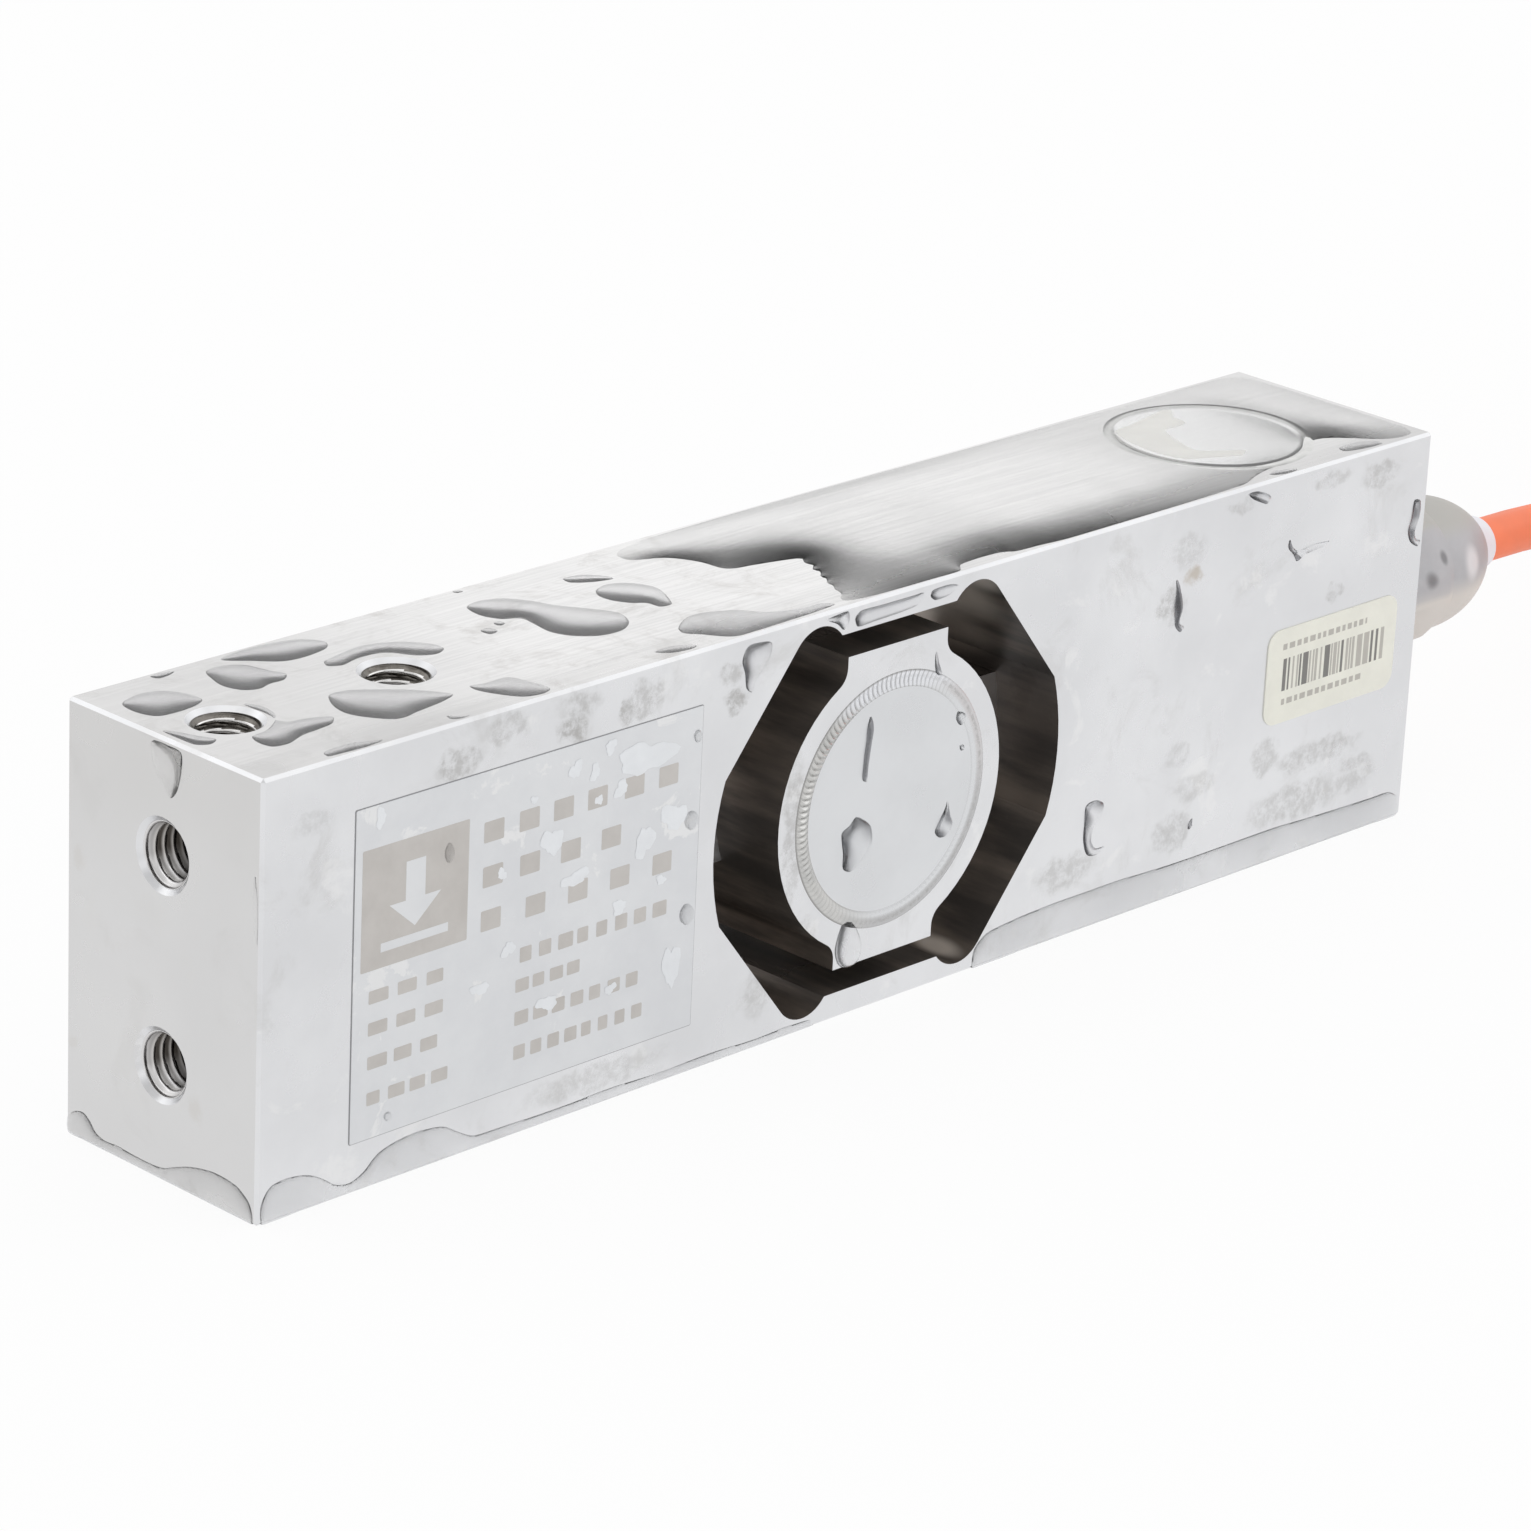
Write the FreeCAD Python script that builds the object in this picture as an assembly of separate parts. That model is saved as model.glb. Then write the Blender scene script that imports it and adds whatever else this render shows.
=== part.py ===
import FreeCAD, Part
import math
import os

from FreeCAD import Vector

os.makedirs("parts", exist_ok=True)

# Single point load cell, millimetres, +Z up.
# The origin is at the middle of the measuring body's underside.
# +X runs to the cable end and -Y is the front face.

# Measuring body
body_length = 150.0
body_width = 25.0
body_height = 40.0
edge_break = 0.3

# Opening, measured from the middle of the body
side_arc_radius = 22.5
side_arc_half_height = 6.9
lobe_offset = 10.2
lobe_radius = 3.5
flexure_thickness = 1.2
slot_edge_depth = 2.6

# Island inside the opening and the arms that carry it
island_radius = 14.4
slot_gap = 2.3
tab_half_width = 6.45
tab_fillet = 2.0
arm_thickness = 9.4
arm_height = 10.0

# Gauge chambers in the island and their welded covers
chamber_radius = 10.4
gauge_web = 3.5
gauge_cover_radius = 11.65
gauge_cover_thickness = 1.2
weld_width = 1.2
weld_height = 0.16
weld_clearance = 0.04

# Strain gauges and terminal strips on the web
gauge_length = 4.6
gauge_breadth = 3.4
gauge_thickness = 0.15
gauge_angle = 45.0
gauge_spacing = 6.5
gauge_middle_x = -1.4
strip_x = 7.6
strip_breadth = 1.8
strip_height = 7.0
strip_thickness = 1.7
lead_hole_radius = 1.0
lead_hole_offset = 1.05
lead_radius = 0.6
lead_rise = 2.2
cross_hole_radius = 0.9

# Electronics chamber at the cable end
chamber_from_end = 19.0
electronics_radius = 8.6
electronics_floor = 15.0
ledge_width = 1.4
ledge_depth = 11.0
electronics_cover_radius = 9.8
electronics_cover_thickness = 1.2
board_breadth = 10.0
board_thickness = 1.2
board_clearance = 0.3
resistor_length = 3.2
resistor_breadth = 1.6
resistor_thickness = 0.6
resistor_spread = 4.4

# Threaded fixing holes, drawn at the thread's outside diameter
thread_radius = 3.0
countersink_radius = 3.45
hole_spacing = 19.0
first_hole_from_end = 6.7
load_hole_depth = 6.3
end_hole_depth = 13.0
base_hole_depth = 11.0

# Cable
cable_diameter = 4.7
cable_length = 3000.0
cable_sides = 8
wire_sides = 8
core_radius = 0.45
core_circle = 1.4
core_count = 4
core_lean = 5.0
core_fan = 2.2
stripped_x = 4.0

# Cable gland on the end face
gland_across_flats = 14.0
gland_base = 5.0
gland_shank_radius = 5.95
gland_shank = 8.0
gland_collar_radius = 5.4
gland_collar = 8.0
thread_clearance = 0.05
cable_clearance = 0.25
seal_wall = 1.8
seal_clearance = 0.05
seal_overhang = 1.6
nut_gap = 0.4
nut_hex = 7.4
nut_barrel = 1.35
nut_dome = 8.7
nut_collar = 2.05
nut_collar_radius = 3.1
nut_chamfer = 0.5
nut_step = 0.1
dome_facets = 3
oring_width = 0.8
oring_depth = 0.7

# Cable route: distance past the gland's mouth, and the share of the way down to the hank's run
route_steps = [(0.0, 0.0), (26.0, 0.0), (46.4, 1.0), (68.2, 1.0)]

# Tied hank of the cable that is put away
hank_inner_radius = 15.5
turn_pitch = 4.8
rise_pitch = 4.75
hank_turns = 7
hank_inner_turns = 6
hank_side = 10.15
pocket_clearance = 0.1
pocket_room = 1.0
tie_width = 2.6
near_tie_from_end = 26.0
far_tie_from_end = 8.0
tie_thickness = 1.0
tie_head = 4.5
tie_head_height = 3.0
lead_length = 34.0
flying_lead_radius = 0.48
flying_lead_step = 1.3

# Values worked out from the sizes above
half_length = body_length / 2
half_width = body_width / 2
half_height = body_height / 2
tab_height = half_height - slot_edge_depth - slot_gap
slot_half_height = half_height - slot_edge_depth
web_half = gauge_web / 2
lead_hole_y = -web_half - lead_hole_offset
chamber_x = half_length - chamber_from_end
ledge_z = body_height - ledge_depth
lower_radius = electronics_radius - ledge_width
cable_radius = cable_diameter / 2
cable_hole_radius = cable_radius + cable_clearance
seal_hole_radius = cable_radius + seal_wall + seal_clearance
gland_x = half_length
nut_x = gland_x + gland_base + nut_gap
mouth_x = nut_x + nut_hex + nut_barrel + nut_dome + nut_collar
hank_outer_radius = hank_inner_radius + turn_pitch


def v(x, y, z):
    return Vector(x, y, z)


def save(shape, node):
    shape.exportStep("parts/%s.step" % node)


def rod_x(radius, x0, x1, y=0.0, z=half_height):
    return Part.makeCylinder(radius, x1 - x0, v(x0, y, z), v(1, 0, 0))


def rod_y(radius, y0, y1, x=0.0, z=half_height):
    return Part.makeCylinder(radius, y1 - y0, v(x, y0, z), v(0, 1, 0))


def rod_z(radius, z0, z1, x=0.0, y=0.0):
    return Part.makeCylinder(radius, z1 - z0, v(x, y, z0), v(0, 0, 1))


def block(x0, x1, y0, y1, z0, z1):
    return Part.makeBox(x1 - x0, y1 - y0, z1 - z0, v(x0, y0, z0))


def chain(points):
    """Edges through a list of points, where a tuple of two points is an arc's middle and end."""
    edges = []
    here = points[0]
    for item in points[1:]:
        if isinstance(item, tuple):
            edges.append(Part.Arc(here, item[0], item[1]).toShape())
            here = item[1]
        else:
            edges.append(Part.LineSegment(here, item).toShape())
            here = item
    return edges


def face_of(points):
    return Part.Face(Part.Wire(chain(points)))


def turned_about_x(points):
    """Solid of revolution about the gland's axis from (x, radius) points."""
    axis = v(0, 0, half_height)
    outline = []
    for item in points:
        if isinstance(item[0], tuple):
            outline.append(tuple(v(x, 0, half_height + r) for x, r in item))
        else:
            outline.append(v(item[0], 0, half_height + item[1]))
    outline.append(outline[0])
    return face_of(outline).revolve(axis, v(1, 0, 0), 360)


def hexagon_x(across_flats, x0, x1):
    corner = across_flats / math.sqrt(3)
    points = []
    for k in range(7):
        angle = math.radians(60 * k)
        points.append(v(x0, corner * math.cos(angle), half_height + corner * math.sin(angle)))
    return face_of(points).extrude(v(x1 - x0, 0, 0))


def ring_section(radius, start, aim):
    """Plain many-sided section of a cable, square to its aim."""
    across = v(0, 1, 0)
    points = []
    for k in range(cable_sides + 1):
        angle = math.radians(360 / cable_sides * k)
        points.append(start + (across * math.cos(angle) + aim.cross(across) * math.sin(angle)) * radius)
    return Part.Wire(chain(points))


def straight_wire(radius, start, end):
    """Plain many-sided wire from one point to another."""
    aim = (end - start).normalize()
    across = aim.cross(v(0, 1, 0)).normalize()
    points = []
    for k in range(wire_sides + 1):
        angle = math.radians(360 / wire_sides * k)
        points.append(start + (across * math.cos(angle) + aim.cross(across) * math.sin(angle)) * radius)
    return face_of(points).extrude(end - start)


def tube_along(points, radius, radii):
    """Tube on straight runs joined by tangent arcs, and its path's length."""
    path = [points[0]]
    for k in range(1, len(points) - 1):
        back = (points[k - 1] - points[k]).normalize()
        ahead = (points[k + 1] - points[k]).normalize()
        half_turn = (math.pi - back.getAngle(ahead)) / 2
        reach = radii[k - 1] * math.tan(half_turn)
        start = points[k] + back * reach
        end = points[k] + ahead * reach
        inward = (back + ahead).normalize()
        centre = points[k] + inward * (radii[k - 1] / math.cos(half_turn))
        middle = centre - inward * radii[k - 1]
        path.append(start)
        path.append((middle, end))
    path.append(points[-1])
    wire = Part.Wire(chain(path))
    section = ring_section(radius, points[0], (points[1] - points[0]).normalize())
    return wire.makePipeShell([section], True, False), wire.Length


def opening_outline(y):
    """Outline of the through opening: round sides, slanted flanks and four lobes at the thin spots."""
    corner_x = math.sqrt(side_arc_radius ** 2 - side_arc_half_height ** 2)
    lobe_z = half_height - flexure_thickness - lobe_radius
    span_x = corner_x - lobe_offset
    span_z = side_arc_half_height - lobe_z
    span = math.hypot(span_x, span_z)
    bearing = math.atan2(span_z, span_x) + math.acos(lobe_radius / span)
    touch_x = lobe_offset + lobe_radius * math.cos(bearing)
    touch_z = lobe_z + lobe_radius * math.sin(bearing)
    edge_x = lobe_offset - math.sqrt(lobe_radius ** 2 - (slot_half_height - lobe_z) ** 2)

    def at(x, z):
        return v(x, y, half_height + z)

    def lobe(sx, sz, outward):
        top = at(sx * lobe_offset, sz * (lobe_z + lobe_radius))
        if outward:
            return (top, at(sx * touch_x, sz * touch_z))
        return (top, at(sx * edge_x, sz * slot_half_height))

    return [
        at(corner_x, side_arc_half_height),
        at(touch_x, touch_z),
        lobe(1, 1, False),
        at(-edge_x, slot_half_height),
        lobe(-1, 1, True),
        at(-corner_x, side_arc_half_height),
        (at(-side_arc_radius, 0), at(-corner_x, -side_arc_half_height)),
        at(-touch_x, -touch_z),
        lobe(-1, -1, False),
        at(edge_x, -slot_half_height),
        lobe(1, -1, True),
        at(corner_x, -side_arc_half_height),
        (at(side_arc_radius, 0), at(corner_x, side_arc_half_height)),
    ]


def island_outline(y):
    """Round island with a flat tab above and below, joined to the round by hollow fillets."""
    fillet_x = tab_half_width + tab_fillet
    fillet_z = math.sqrt((island_radius + tab_fillet) ** 2 - fillet_x ** 2)
    share = island_radius / (island_radius + tab_fillet)
    meet_x = fillet_x * share
    meet_z = fillet_z * share
    hollow = math.atan2(meet_z - fillet_z, meet_x - fillet_x)
    bend = (-math.pi + hollow) / 2
    bend = bend if bend < -math.pi / 2 else bend - math.pi
    deep_x = fillet_x + tab_fillet * math.cos(bend)
    deep_z = fillet_z + tab_fillet * math.sin(bend)

    def at(x, z):
        return v(x, y, half_height + z)

    return [
        at(tab_half_width, tab_height),
        at(-tab_half_width, tab_height),
        at(-tab_half_width, fillet_z),
        (at(-deep_x, deep_z), at(-meet_x, meet_z)),
        (at(-island_radius, 0), at(-meet_x, -meet_z)),
        (at(-deep_x, -deep_z), at(-tab_half_width, -fillet_z)),
        at(-tab_half_width, -tab_height),
        at(tab_half_width, -tab_height),
        at(tab_half_width, -fillet_z),
        (at(deep_x, -deep_z), at(meet_x, -meet_z)),
        (at(island_radius, 0), at(meet_x, meet_z)),
        (at(deep_x, deep_z), at(tab_half_width, fillet_z)),
        at(tab_half_width, tab_height),
    ]


def threaded_hole(mouth, inward, depth):
    """Blind hole with its countersink, to be cut away."""
    sink = countersink_radius - thread_radius
    bore = Part.makeCylinder(thread_radius, depth, mouth, inward)
    cone = Part.makeCone(countersink_radius, thread_radius, sink, mouth, inward)
    return bore.fuse(cone)


def fixing_holes():
    holes = []
    for k in range(2):
        along = first_hole_from_end + k * hole_spacing
        up = half_height + (k - 0.5) * hole_spacing
        holes.append(threaded_hole(v(-half_length + along, 0, body_height), v(0, 0, -1), load_hole_depth))
        holes.append(threaded_hole(v(-half_length, 0, up), v(1, 0, 0), end_hole_depth))
        holes.append(threaded_hole(v(half_length - along, 0, 0), v(0, 0, 1), base_hole_depth))
    return holes


def gauge_chambers():
    cuts = []
    for side in (-1, 1):
        mouth = side * half_width
        seat = mouth - side * gauge_cover_thickness
        web = side * web_half
        cuts.append(rod_y(chamber_radius, min(mouth, web), max(mouth, web)))
        cuts.append(rod_y(gauge_cover_radius + weld_clearance, min(mouth, seat), max(mouth, seat)))
    cuts.append(rod_y(cross_hole_radius, -web_half, web_half, strip_x))
    cuts.append(rod_x(lead_hole_radius, strip_x, chamber_x, lead_hole_y))
    return cuts


def electronics_chamber():
    cover_seat = body_height - electronics_cover_thickness
    return [
        rod_z(lower_radius, electronics_floor, body_height, chamber_x),
        rod_z(electronics_radius, ledge_z, body_height, chamber_x),
        rod_z(electronics_cover_radius + weld_clearance, cover_seat, body_height, chamber_x),
    ]


def cable_entry():
    shank_end = half_length - gland_shank
    inner = gland_shank_radius + thread_clearance
    groove = rod_x(inner + oring_width, half_length - oring_depth, half_length)
    return [
        rod_x(cable_hole_radius, chamber_x, shank_end),
        rod_x(inner, shank_end, half_length),
        groove,
    ]


def measuring_body():
    outer = block(-half_length, half_length, -half_width, half_width, 0, body_height)
    outer = outer.makeChamfer(edge_break, outer.Edges)
    opening = face_of(opening_outline(-half_width)).extrude(v(0, body_width, 0))
    island = face_of(island_outline(-half_width)).extrude(v(0, body_width, 0))
    arm_reach = side_arc_radius + flexure_thickness
    half_arm = arm_height / 2
    arms = block(
        -arm_reach,
        arm_reach,
        -arm_thickness / 2,
        arm_thickness / 2,
        half_height - half_arm,
        half_height + half_arm,
    )
    shape = outer.cut(opening).fuse([island, arms])
    shape = shape.cut(gauge_chambers() + electronics_chamber() + cable_entry() + fixing_holes())
    return shape.removeSplitter()


def welded_cover(radius, thickness):
    """Flat disc with a low weld bead on its rim, outer face at z = 0 and axis along Z."""
    half_bead = weld_width / 2
    outline = [
        v(0, 0, -thickness),
        v(radius, 0, -thickness),
        v(radius, 0, 0),
        v(radius + half_bead, 0, 0),
        v(radius, 0, weld_height),
        v(radius - half_bead, 0, 0),
        v(0, 0, 0),
        v(0, 0, -thickness),
    ]
    return face_of(outline).revolve(v(0, 0, 0), v(0, 0, 1), 360)


def gauge_cover(side):
    cover = welded_cover(gauge_cover_radius, gauge_cover_thickness)
    cover.rotate(v(0, 0, 0), v(1, 0, 0), -90 * side)
    cover.translate(v(0, side * half_width, half_height))
    return cover


def electronics_cover():
    return rod_z(electronics_cover_radius, body_height - electronics_cover_thickness, body_height, chamber_x)


def strain_gauge(side, place):
    x = gauge_middle_x + place * gauge_spacing / 2
    near = web_half if side > 0 else -web_half - gauge_thickness
    plate = block(
        x - gauge_length / 2,
        x + gauge_length / 2,
        near,
        near + gauge_thickness,
        half_height - gauge_breadth / 2,
        half_height + gauge_breadth / 2,
    )
    plate.rotate(v(x, 0, half_height), v(0, 1, 0), place * gauge_angle)
    return plate


def terminal_strip(side):
    near = web_half if side > 0 else -web_half - strip_thickness
    return block(
        strip_x - strip_breadth / 2,
        strip_x + strip_breadth / 2,
        near,
        near + strip_thickness,
        half_height - strip_height / 2,
        half_height + strip_height / 2,
    )


def front_gauge_leads():
    """Lead bundle from the front strip through the arm, with a mitred corner and a rise to the board."""
    rise_x = chamber_x - lower_radius + lead_rise
    reach = rise_x + lead_radius
    strip_end = v(strip_x + strip_breadth / 2, lead_hole_y, half_height)
    level = straight_wire(lead_radius, strip_end, v(reach, lead_hole_y, half_height))
    foot = v(rise_x, lead_hole_y, half_height - lead_radius)
    rise = straight_wire(lead_radius, foot, v(rise_x, lead_hole_y, ledge_z))
    above = [
        v(rise_x - reach, lead_hole_y - 1, half_height - reach),
        v(rise_x + reach, lead_hole_y - 1, half_height + reach),
        v(rise_x - reach, lead_hole_y - 1, half_height + reach),
        v(rise_x - reach, lead_hole_y - 1, half_height - reach),
    ]
    corner = face_of(above).extrude(v(0, 2, 0))
    return level.common(corner).fuse(rise.common(corner)).removeSplitter()


def compensation_board():
    """Square-cut board whose corners rest on the chamber's ledge."""
    half_board = math.sqrt((electronics_radius - board_clearance) ** 2 - (board_breadth / 2) ** 2)
    return block(
        chamber_x - half_board,
        chamber_x + half_board,
        -board_breadth / 2,
        board_breadth / 2,
        ledge_z,
        ledge_z + board_thickness,
    )


def resistor(k):
    angle = math.radians(45 + 90 * k)
    x = chamber_x + resistor_spread * math.cos(angle)
    y = resistor_spread * math.sin(angle)
    top = ledge_z + board_thickness
    return block(
        x - resistor_length / 2,
        x + resistor_length / 2,
        y - resistor_breadth / 2,
        y + resistor_breadth / 2,
        top,
        top + resistor_thickness,
    )


def inner_core(k):
    """One core from the stripped cable end, slanting up to the underside of the board."""
    angle = math.radians(360 * k / core_count)
    y = core_circle * math.cos(angle)
    z = half_height + core_circle * math.sin(angle)
    low = v(chamber_x + stripped_x, y, z)
    high = v(low.x - core_lean + core_fan * (z - half_height), core_fan * y, ledge_z)
    aim = (high - low).normalize()
    extra = aim * 2 * core_radius
    core = straight_wire(core_radius, low - extra, high + extra)
    room = block(chamber_x - lower_radius, low.x, -lower_radius, lower_radius, electronics_floor, ledge_z)
    return core.common(room)


def gland_body():
    """Hexagon base with the shank that screws into the end face and the collar that takes the nut."""
    flange_end = gland_x + gland_base
    shape = hexagon_x(gland_across_flats, gland_x, flange_end)
    shape = shape.fuse(rod_x(gland_shank_radius, gland_x - gland_shank, gland_x))
    shape = shape.fuse(rod_x(gland_collar_radius, flange_end, flange_end + gland_collar))
    shape = shape.cut(rod_x(cable_hole_radius, gland_x - gland_shank, flange_end))
    return shape.cut(rod_x(seal_hole_radius, flange_end, flange_end + gland_collar)).removeSplitter()


def gland_seal():
    start = gland_x + gland_base
    end = start + gland_collar + seal_overhang
    outer = rod_x(cable_radius + seal_wall, start, end)
    return outer.cut(rod_x(cable_radius, start, end))


def gland_nut():
    """Dome nut: hexagon with chamfered corners, short barrel, round dome and the slim collar on the cable."""
    hex_end = nut_x + nut_hex
    barrel_end = hex_end + nut_barrel
    barrel = gland_across_flats / 2 - nut_step
    drop = barrel - nut_collar_radius
    sweep = 2 * math.atan(drop / nut_dome)
    dome_radius = nut_dome / math.sin(sweep)
    profile = [(hex_end - nut_chamfer, 0.0), (hex_end - nut_chamfer, barrel)]
    for k in range(dome_facets + 1):
        angle = sweep * k / dome_facets
        along = barrel_end + dome_radius * math.sin(angle)
        profile.append((along, barrel - dome_radius * (1 - math.cos(angle))))
    profile.append((mouth_x, nut_collar_radius))
    profile.append((mouth_x, 0.0))
    corner = gland_across_flats / math.sqrt(3)
    rounding = turned_about_x(
        [
            (nut_x, 0.0),
            (nut_x, corner),
            (hex_end - corner + barrel, corner),
            (hex_end, barrel),
            (hex_end, 0.0),
        ]
    )
    hexagon = hexagon_x(gland_across_flats, nut_x, hex_end)
    shape = hexagon.common(rounding).fuse(turned_about_x(profile))
    thread_end = gland_x + gland_base + gland_collar + seal_clearance
    seal_end = thread_end + seal_overhang
    shape = shape.cut(rod_x(gland_collar_radius + thread_clearance, nut_x, thread_end))
    shape = shape.cut(rod_x(seal_hole_radius, thread_end, seal_end))
    return shape.cut(rod_x(cable_hole_radius, seal_end, mouth_x)).removeSplitter()


def gland_oring():
    """Sealing ring under the hexagon, pressed flat into its groove."""
    inner = gland_shank_radius + thread_clearance
    outer = inner + oring_width
    ring = rod_x(outer, half_length - oring_depth, half_length)
    ring = ring.cut(rod_x(inner, half_length - oring_depth, half_length))
    return ring


def cable_inlet():
    return rod_x(cable_radius, chamber_x + stripped_x, mouth_x)


def route_points():
    """Route of the free cable from the gland's mouth down to the hank's lowest turn."""
    points = []
    for step, share in route_steps:
        z = half_height + (cable_radius - half_height) * share
        points.append(v(mouth_x + step, hank_side * share, z))
    return points


def route_radii(points):
    radii = []
    for k in range(1, len(points) - 1):
        back = points[k] - points[k - 1]
        ahead = points[k + 1] - points[k]
        shorter = min(back.Length, ahead.Length)
        radii.append(0.45 * shorter / math.tan(back.getAngle(ahead) / 2))
    return radii


def cable_run():
    points = route_points()
    radii = route_radii(points)
    tube, length = tube_along(points, cable_radius, radii)
    section = cable_sides / 2 * math.sin(2 * math.pi / cable_sides) * cable_radius ** 2
    print("cable run length %.2f, radii %s" % (length, [round(r, 1) for r in radii]))
    print("cable run volume %.1f, section times length %.1f" % (tube.Volume, section * length))
    return tube, length


def hank_straight(run_length):
    """Straight run of the hank that makes the whole cable come out at its length."""
    round_part = 2 * math.pi * (hank_turns * hank_outer_radius + hank_inner_turns * hank_inner_radius)
    round_part = round_part + math.pi * hank_inner_radius
    left = cable_length - run_length - round_part + lead_length
    return left / (2 * hank_turns + 2 * hank_inner_turns + 2)


def hank_frame(run_length):
    """Middles of the hank's two round ends, and its height."""
    near_x = mouth_x + route_steps[-1][0]
    far_x = near_x + hank_straight(run_length)
    y = hank_side - hank_outer_radius
    height = hank_turns * rise_pitch + cable_diameter
    return near_x, far_x, y, height


def stadium(near_x, far_x, y, radius, height):
    outline = [
        v(near_x, y + radius, 0),
        v(far_x, y + radius, 0),
        (v(far_x + radius, y, 0), v(far_x, y - radius, 0)),
        v(near_x, y - radius, 0),
        (v(near_x - radius, y, 0), v(near_x, y + radius, 0)),
    ]
    return face_of(outline).extrude(v(0, 0, height))


def lead_notch(run_length):
    """Room under the inner turns where the flying leads lie, open to the middle of the hank."""
    near_x, far_x, y, height = hank_frame(run_length)
    lane = y - hank_inner_radius
    room = cable_radius + pocket_clearance
    return block(near_x, near_x + lead_length, lane - room, y, 0, cable_diameter + pocket_clearance)


def tie_band(run_length, side):
    """Flat band round one run of the hank, with its head on top."""
    near_x, far_x, y, height = hank_frame(run_length)
    middle = far_x - (near_tie_from_end if side > 0 else far_tie_from_end)
    inner = hank_inner_radius - cable_radius
    outer = hank_outer_radius + cable_radius
    low = min(side * inner, side * outer) + y
    high = max(side * inner, side * outer) + y
    half = tie_width / 2
    band = block(
        middle - half,
        middle + half,
        low - tie_thickness,
        high + tie_thickness,
        0,
        height + tie_thickness,
    )
    hole = block(middle - half, middle + half, low, high, tie_thickness, height)
    head_middle = (low + high) / 2
    head = block(
        middle - tie_head / 2,
        middle + tie_head / 2,
        head_middle - tie_head / 2,
        head_middle + tie_head / 2,
        height,
        height + tie_head_height,
    )
    return band.cut(hole).fuse(head).removeSplitter()


def cable_hank(run_length):
    """Outer shape of the wound cable: a long ring with room for the run, the leads and the ties."""
    near_x, far_x, y, height = hank_frame(run_length)
    ring = stadium(near_x, far_x, y, hank_outer_radius + cable_radius, height)
    hole = stadium(near_x, far_x, y, hank_inner_radius - cable_radius, height)
    ring = ring.cut(hole)
    room = cable_radius + pocket_room
    pocket = block(
        near_x - 2 * hank_outer_radius,
        near_x,
        hank_side - room,
        hank_side + room,
        0,
        cable_radius + room,
    )
    ring = ring.cut([pocket, lead_notch(run_length)])
    return ring.cut([tie_band(run_length, 1), tie_band(run_length, -1)])


def flying_lead(run_length, k):
    """One stripped core at the cable's far end, straight along the hank's inner run."""
    near_x, far_x, y, height = hank_frame(run_length)
    lane = y - hank_inner_radius
    row = (k // 2 - 0.5) * flying_lead_step
    level = flying_lead_radius + k % 2 * flying_lead_step
    start = v(near_x, lane + row, level)
    return straight_wire(flying_lead_radius, start, start + v(lead_length, 0, 0))


def main():
    save(measuring_body(), "measuring_body")
    save(gauge_cover(-1), "front_gauge_cover")
    save(gauge_cover(1), "rear_gauge_cover")
    save(electronics_cover(), "electronics_cover")
    for side, name in ((-1, "front"), (1, "rear")):
        save(strain_gauge(side, -1), name + "_gauge_left")
        save(strain_gauge(side, 1), name + "_gauge_right")
        save(terminal_strip(side), name + "_terminal_strip")
    save(front_gauge_leads(), "front_gauge_leads")
    save(rod_y(lead_radius, -web_half, web_half, strip_x), "rear_gauge_leads")
    save(compensation_board(), "compensation_board")
    for k, name in enumerate(("zero", "span", "zero_temperature", "span_temperature")):
        save(resistor(k), name + "_resistor")
    for k in range(core_count):
        save(inner_core(k), "inner_core_%d" % (k + 1))
    save(cable_inlet(), "cable_inlet")
    save(gland_body(), "gland_body")
    save(gland_oring(), "gland_oring")
    save(gland_seal(), "gland_seal")
    save(gland_nut(), "gland_nut")
    tube, run_length = cable_run()
    save(tube, "cable_run")
    hank = cable_hank(run_length)
    print("hank straight run %.2f, frame %s" % (hank_straight(run_length), hank_frame(run_length)))
    save(hank, "cable_hank")
    save(tie_band(run_length, 1), "cable_tie_near")
    save(tie_band(run_length, -1), "cable_tie_far")
    for k in range(core_count):
        save(flying_lead(run_length, k), "flying_lead_%d" % (k + 1))


main()
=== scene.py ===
import math
import random
from functools import partialmethod

import bpy
import numpy as np
from mathutils import Matrix, Vector
from mathutils.geometry import delaunay_2d_cdt


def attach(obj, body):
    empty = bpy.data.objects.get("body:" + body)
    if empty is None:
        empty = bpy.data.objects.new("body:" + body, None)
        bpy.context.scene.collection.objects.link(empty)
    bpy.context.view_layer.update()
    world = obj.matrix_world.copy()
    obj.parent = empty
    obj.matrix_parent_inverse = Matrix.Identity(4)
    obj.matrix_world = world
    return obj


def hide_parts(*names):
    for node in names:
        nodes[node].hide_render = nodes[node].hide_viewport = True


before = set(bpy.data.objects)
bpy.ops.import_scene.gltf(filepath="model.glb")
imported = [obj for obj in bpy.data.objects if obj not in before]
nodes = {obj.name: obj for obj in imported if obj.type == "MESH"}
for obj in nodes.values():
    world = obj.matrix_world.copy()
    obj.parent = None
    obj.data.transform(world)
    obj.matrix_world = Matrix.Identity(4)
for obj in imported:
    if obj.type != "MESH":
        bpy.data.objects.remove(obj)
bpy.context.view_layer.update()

# Single point load cell, wet, standing on a pale floor.
# Shapes are in millimetres and turned into metres where meshes are made; materials measure in metres.

MM = 0.001
HALF_LENGTH = 75
HALF_WIDTH = 12.5
HEIGHT = 40
MIDDLE = 20
HOLES_APART = 19
scene = bpy.context.scene


def add_object(name, data):
    made = bpy.data.objects.new(name, data)
    scene.collection.objects.link(made)
    return made


# ---- camera

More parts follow.
